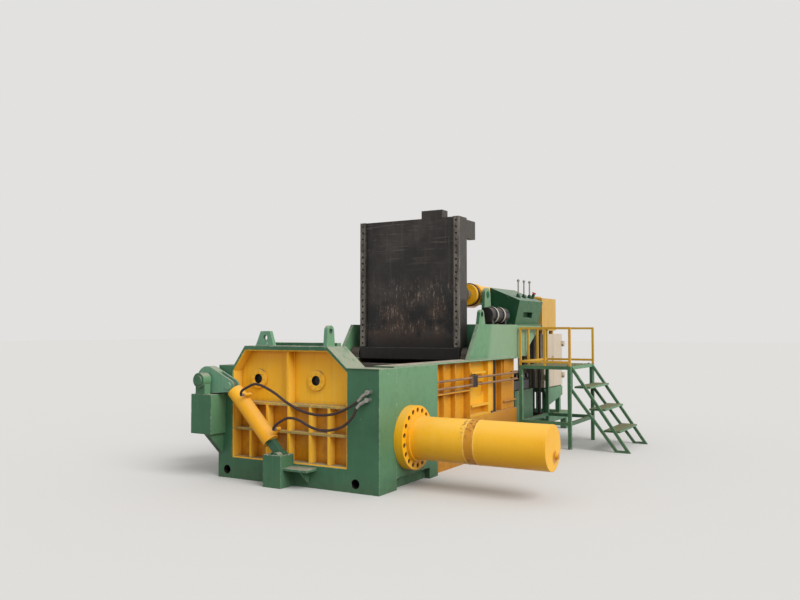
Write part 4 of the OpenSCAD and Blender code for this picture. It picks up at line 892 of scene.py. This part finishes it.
# the room: floor and sky show pale to the camera and in reflections, and light the press
# at a plain level
roomLook = {
    "floorReach": 90,
    "floorTone": paint(211, 210, 208),
    "floorBounce": paint(152, 144, 134),
    "skyTone": paint(226, 225, 224),
    "skyShown": 1.0,
    "skyLight": 0.95,
    "sunLight": 2.1,
    "sunFrom": (0.72, -0.26, 0.64),
    "sunSpread": 40.0,   # degrees
}


# a shader of two halves: the shown one for the camera, reflections and clear things, and the
# lighting one for everything else
def shownAndLit(tree, shown, lit, target):
    seen = tree.nodes.new("ShaderNodeLightPath")
    total = None
    for ray in ("Is Camera Ray", "Is Glossy Ray", "Is Transmission Ray"):
        if total is None:
            total = seen.outputs[ray]
            continue
        most = tree.nodes.new("ShaderNodeMath")
        most.operation = "MAXIMUM"
        tree.links.new(total, most.inputs[0])
        tree.links.new(seen.outputs[ray], most.inputs[1])
        total = most.outputs[0]
    pick = tree.nodes.new("ShaderNodeMixShader")
    tree.links.new(total, pick.inputs[0])
    tree.links.new(lit.outputs[0], pick.inputs[1])
    tree.links.new(shown.outputs[0], pick.inputs[2])
    tree.links.new(pick.outputs[0], target)


# the floor is one wide flat square
def makeFloor(look):
    mesh = bpy.data.meshes.new("floor")
    reach = look["floorReach"]
    mesh.from_pydata([(-reach, -reach, 0), (reach, -reach, 0), (reach, reach, 0), (-reach, reach, 0)],
                     [], [(0, 1, 2, 3)])
    material = bpy.data.materials.new("floorFinish")
    material.use_nodes = True
    tree = material.node_tree
    tree.nodes.clear()
    sheets = []
    for tone in (look["floorTone"], look["floorBounce"]):
        sheet = tree.nodes.new("ShaderNodeBsdfDiffuse")
        sheet.inputs["Color"].default_value = tone
        sheets.append(sheet)
    out = tree.nodes.new("ShaderNodeOutputMaterial")
    shownAndLit(tree, sheets[0], sheets[1], out.inputs["Surface"])
    mesh.materials.append(material)
    floor = bpy.data.objects.new("floor", mesh)
    scene.collection.objects.link(floor)


# an even sky, as bright to the camera as skyShown says, and lighting the press by skyLight
def makeWorld(look):
    world = bpy.data.worlds.new("sky")
    world.use_nodes = True
    tree = world.node_tree
    tree.nodes.clear()
    skies = []
    for strength in (look["skyShown"], look["skyLight"]):
        sky = tree.nodes.new("ShaderNodeBackground")
        sky.inputs["Color"].default_value = look["skyTone"]
        sky.inputs["Strength"].default_value = strength
        skies.append(sky)
    out = tree.nodes.new("ShaderNodeOutputWorld")
    shownAndLit(tree, skies[0], skies[1], out.inputs["Surface"])
    scene.world = world


# one wide soft sun, which shines from the direction given
def makeSun(look):
    lamp = bpy.data.lights.new("sun", "SUN")
    lamp.energy = look["sunLight"]
    lamp.angle = math.radians(look["sunSpread"])
    holder = bpy.data.objects.new("sun", lamp)
    scene.collection.objects.link(holder)
    holder.rotation_euler = Vector(look["sunFrom"]).to_track_quat("Z", "Y").to_euler()


makeFloor(roomLook)
makeWorld(roomLook)
makeSun(roomLook)
scene.view_settings.view_transform = "Standard"
print("room and sun made")
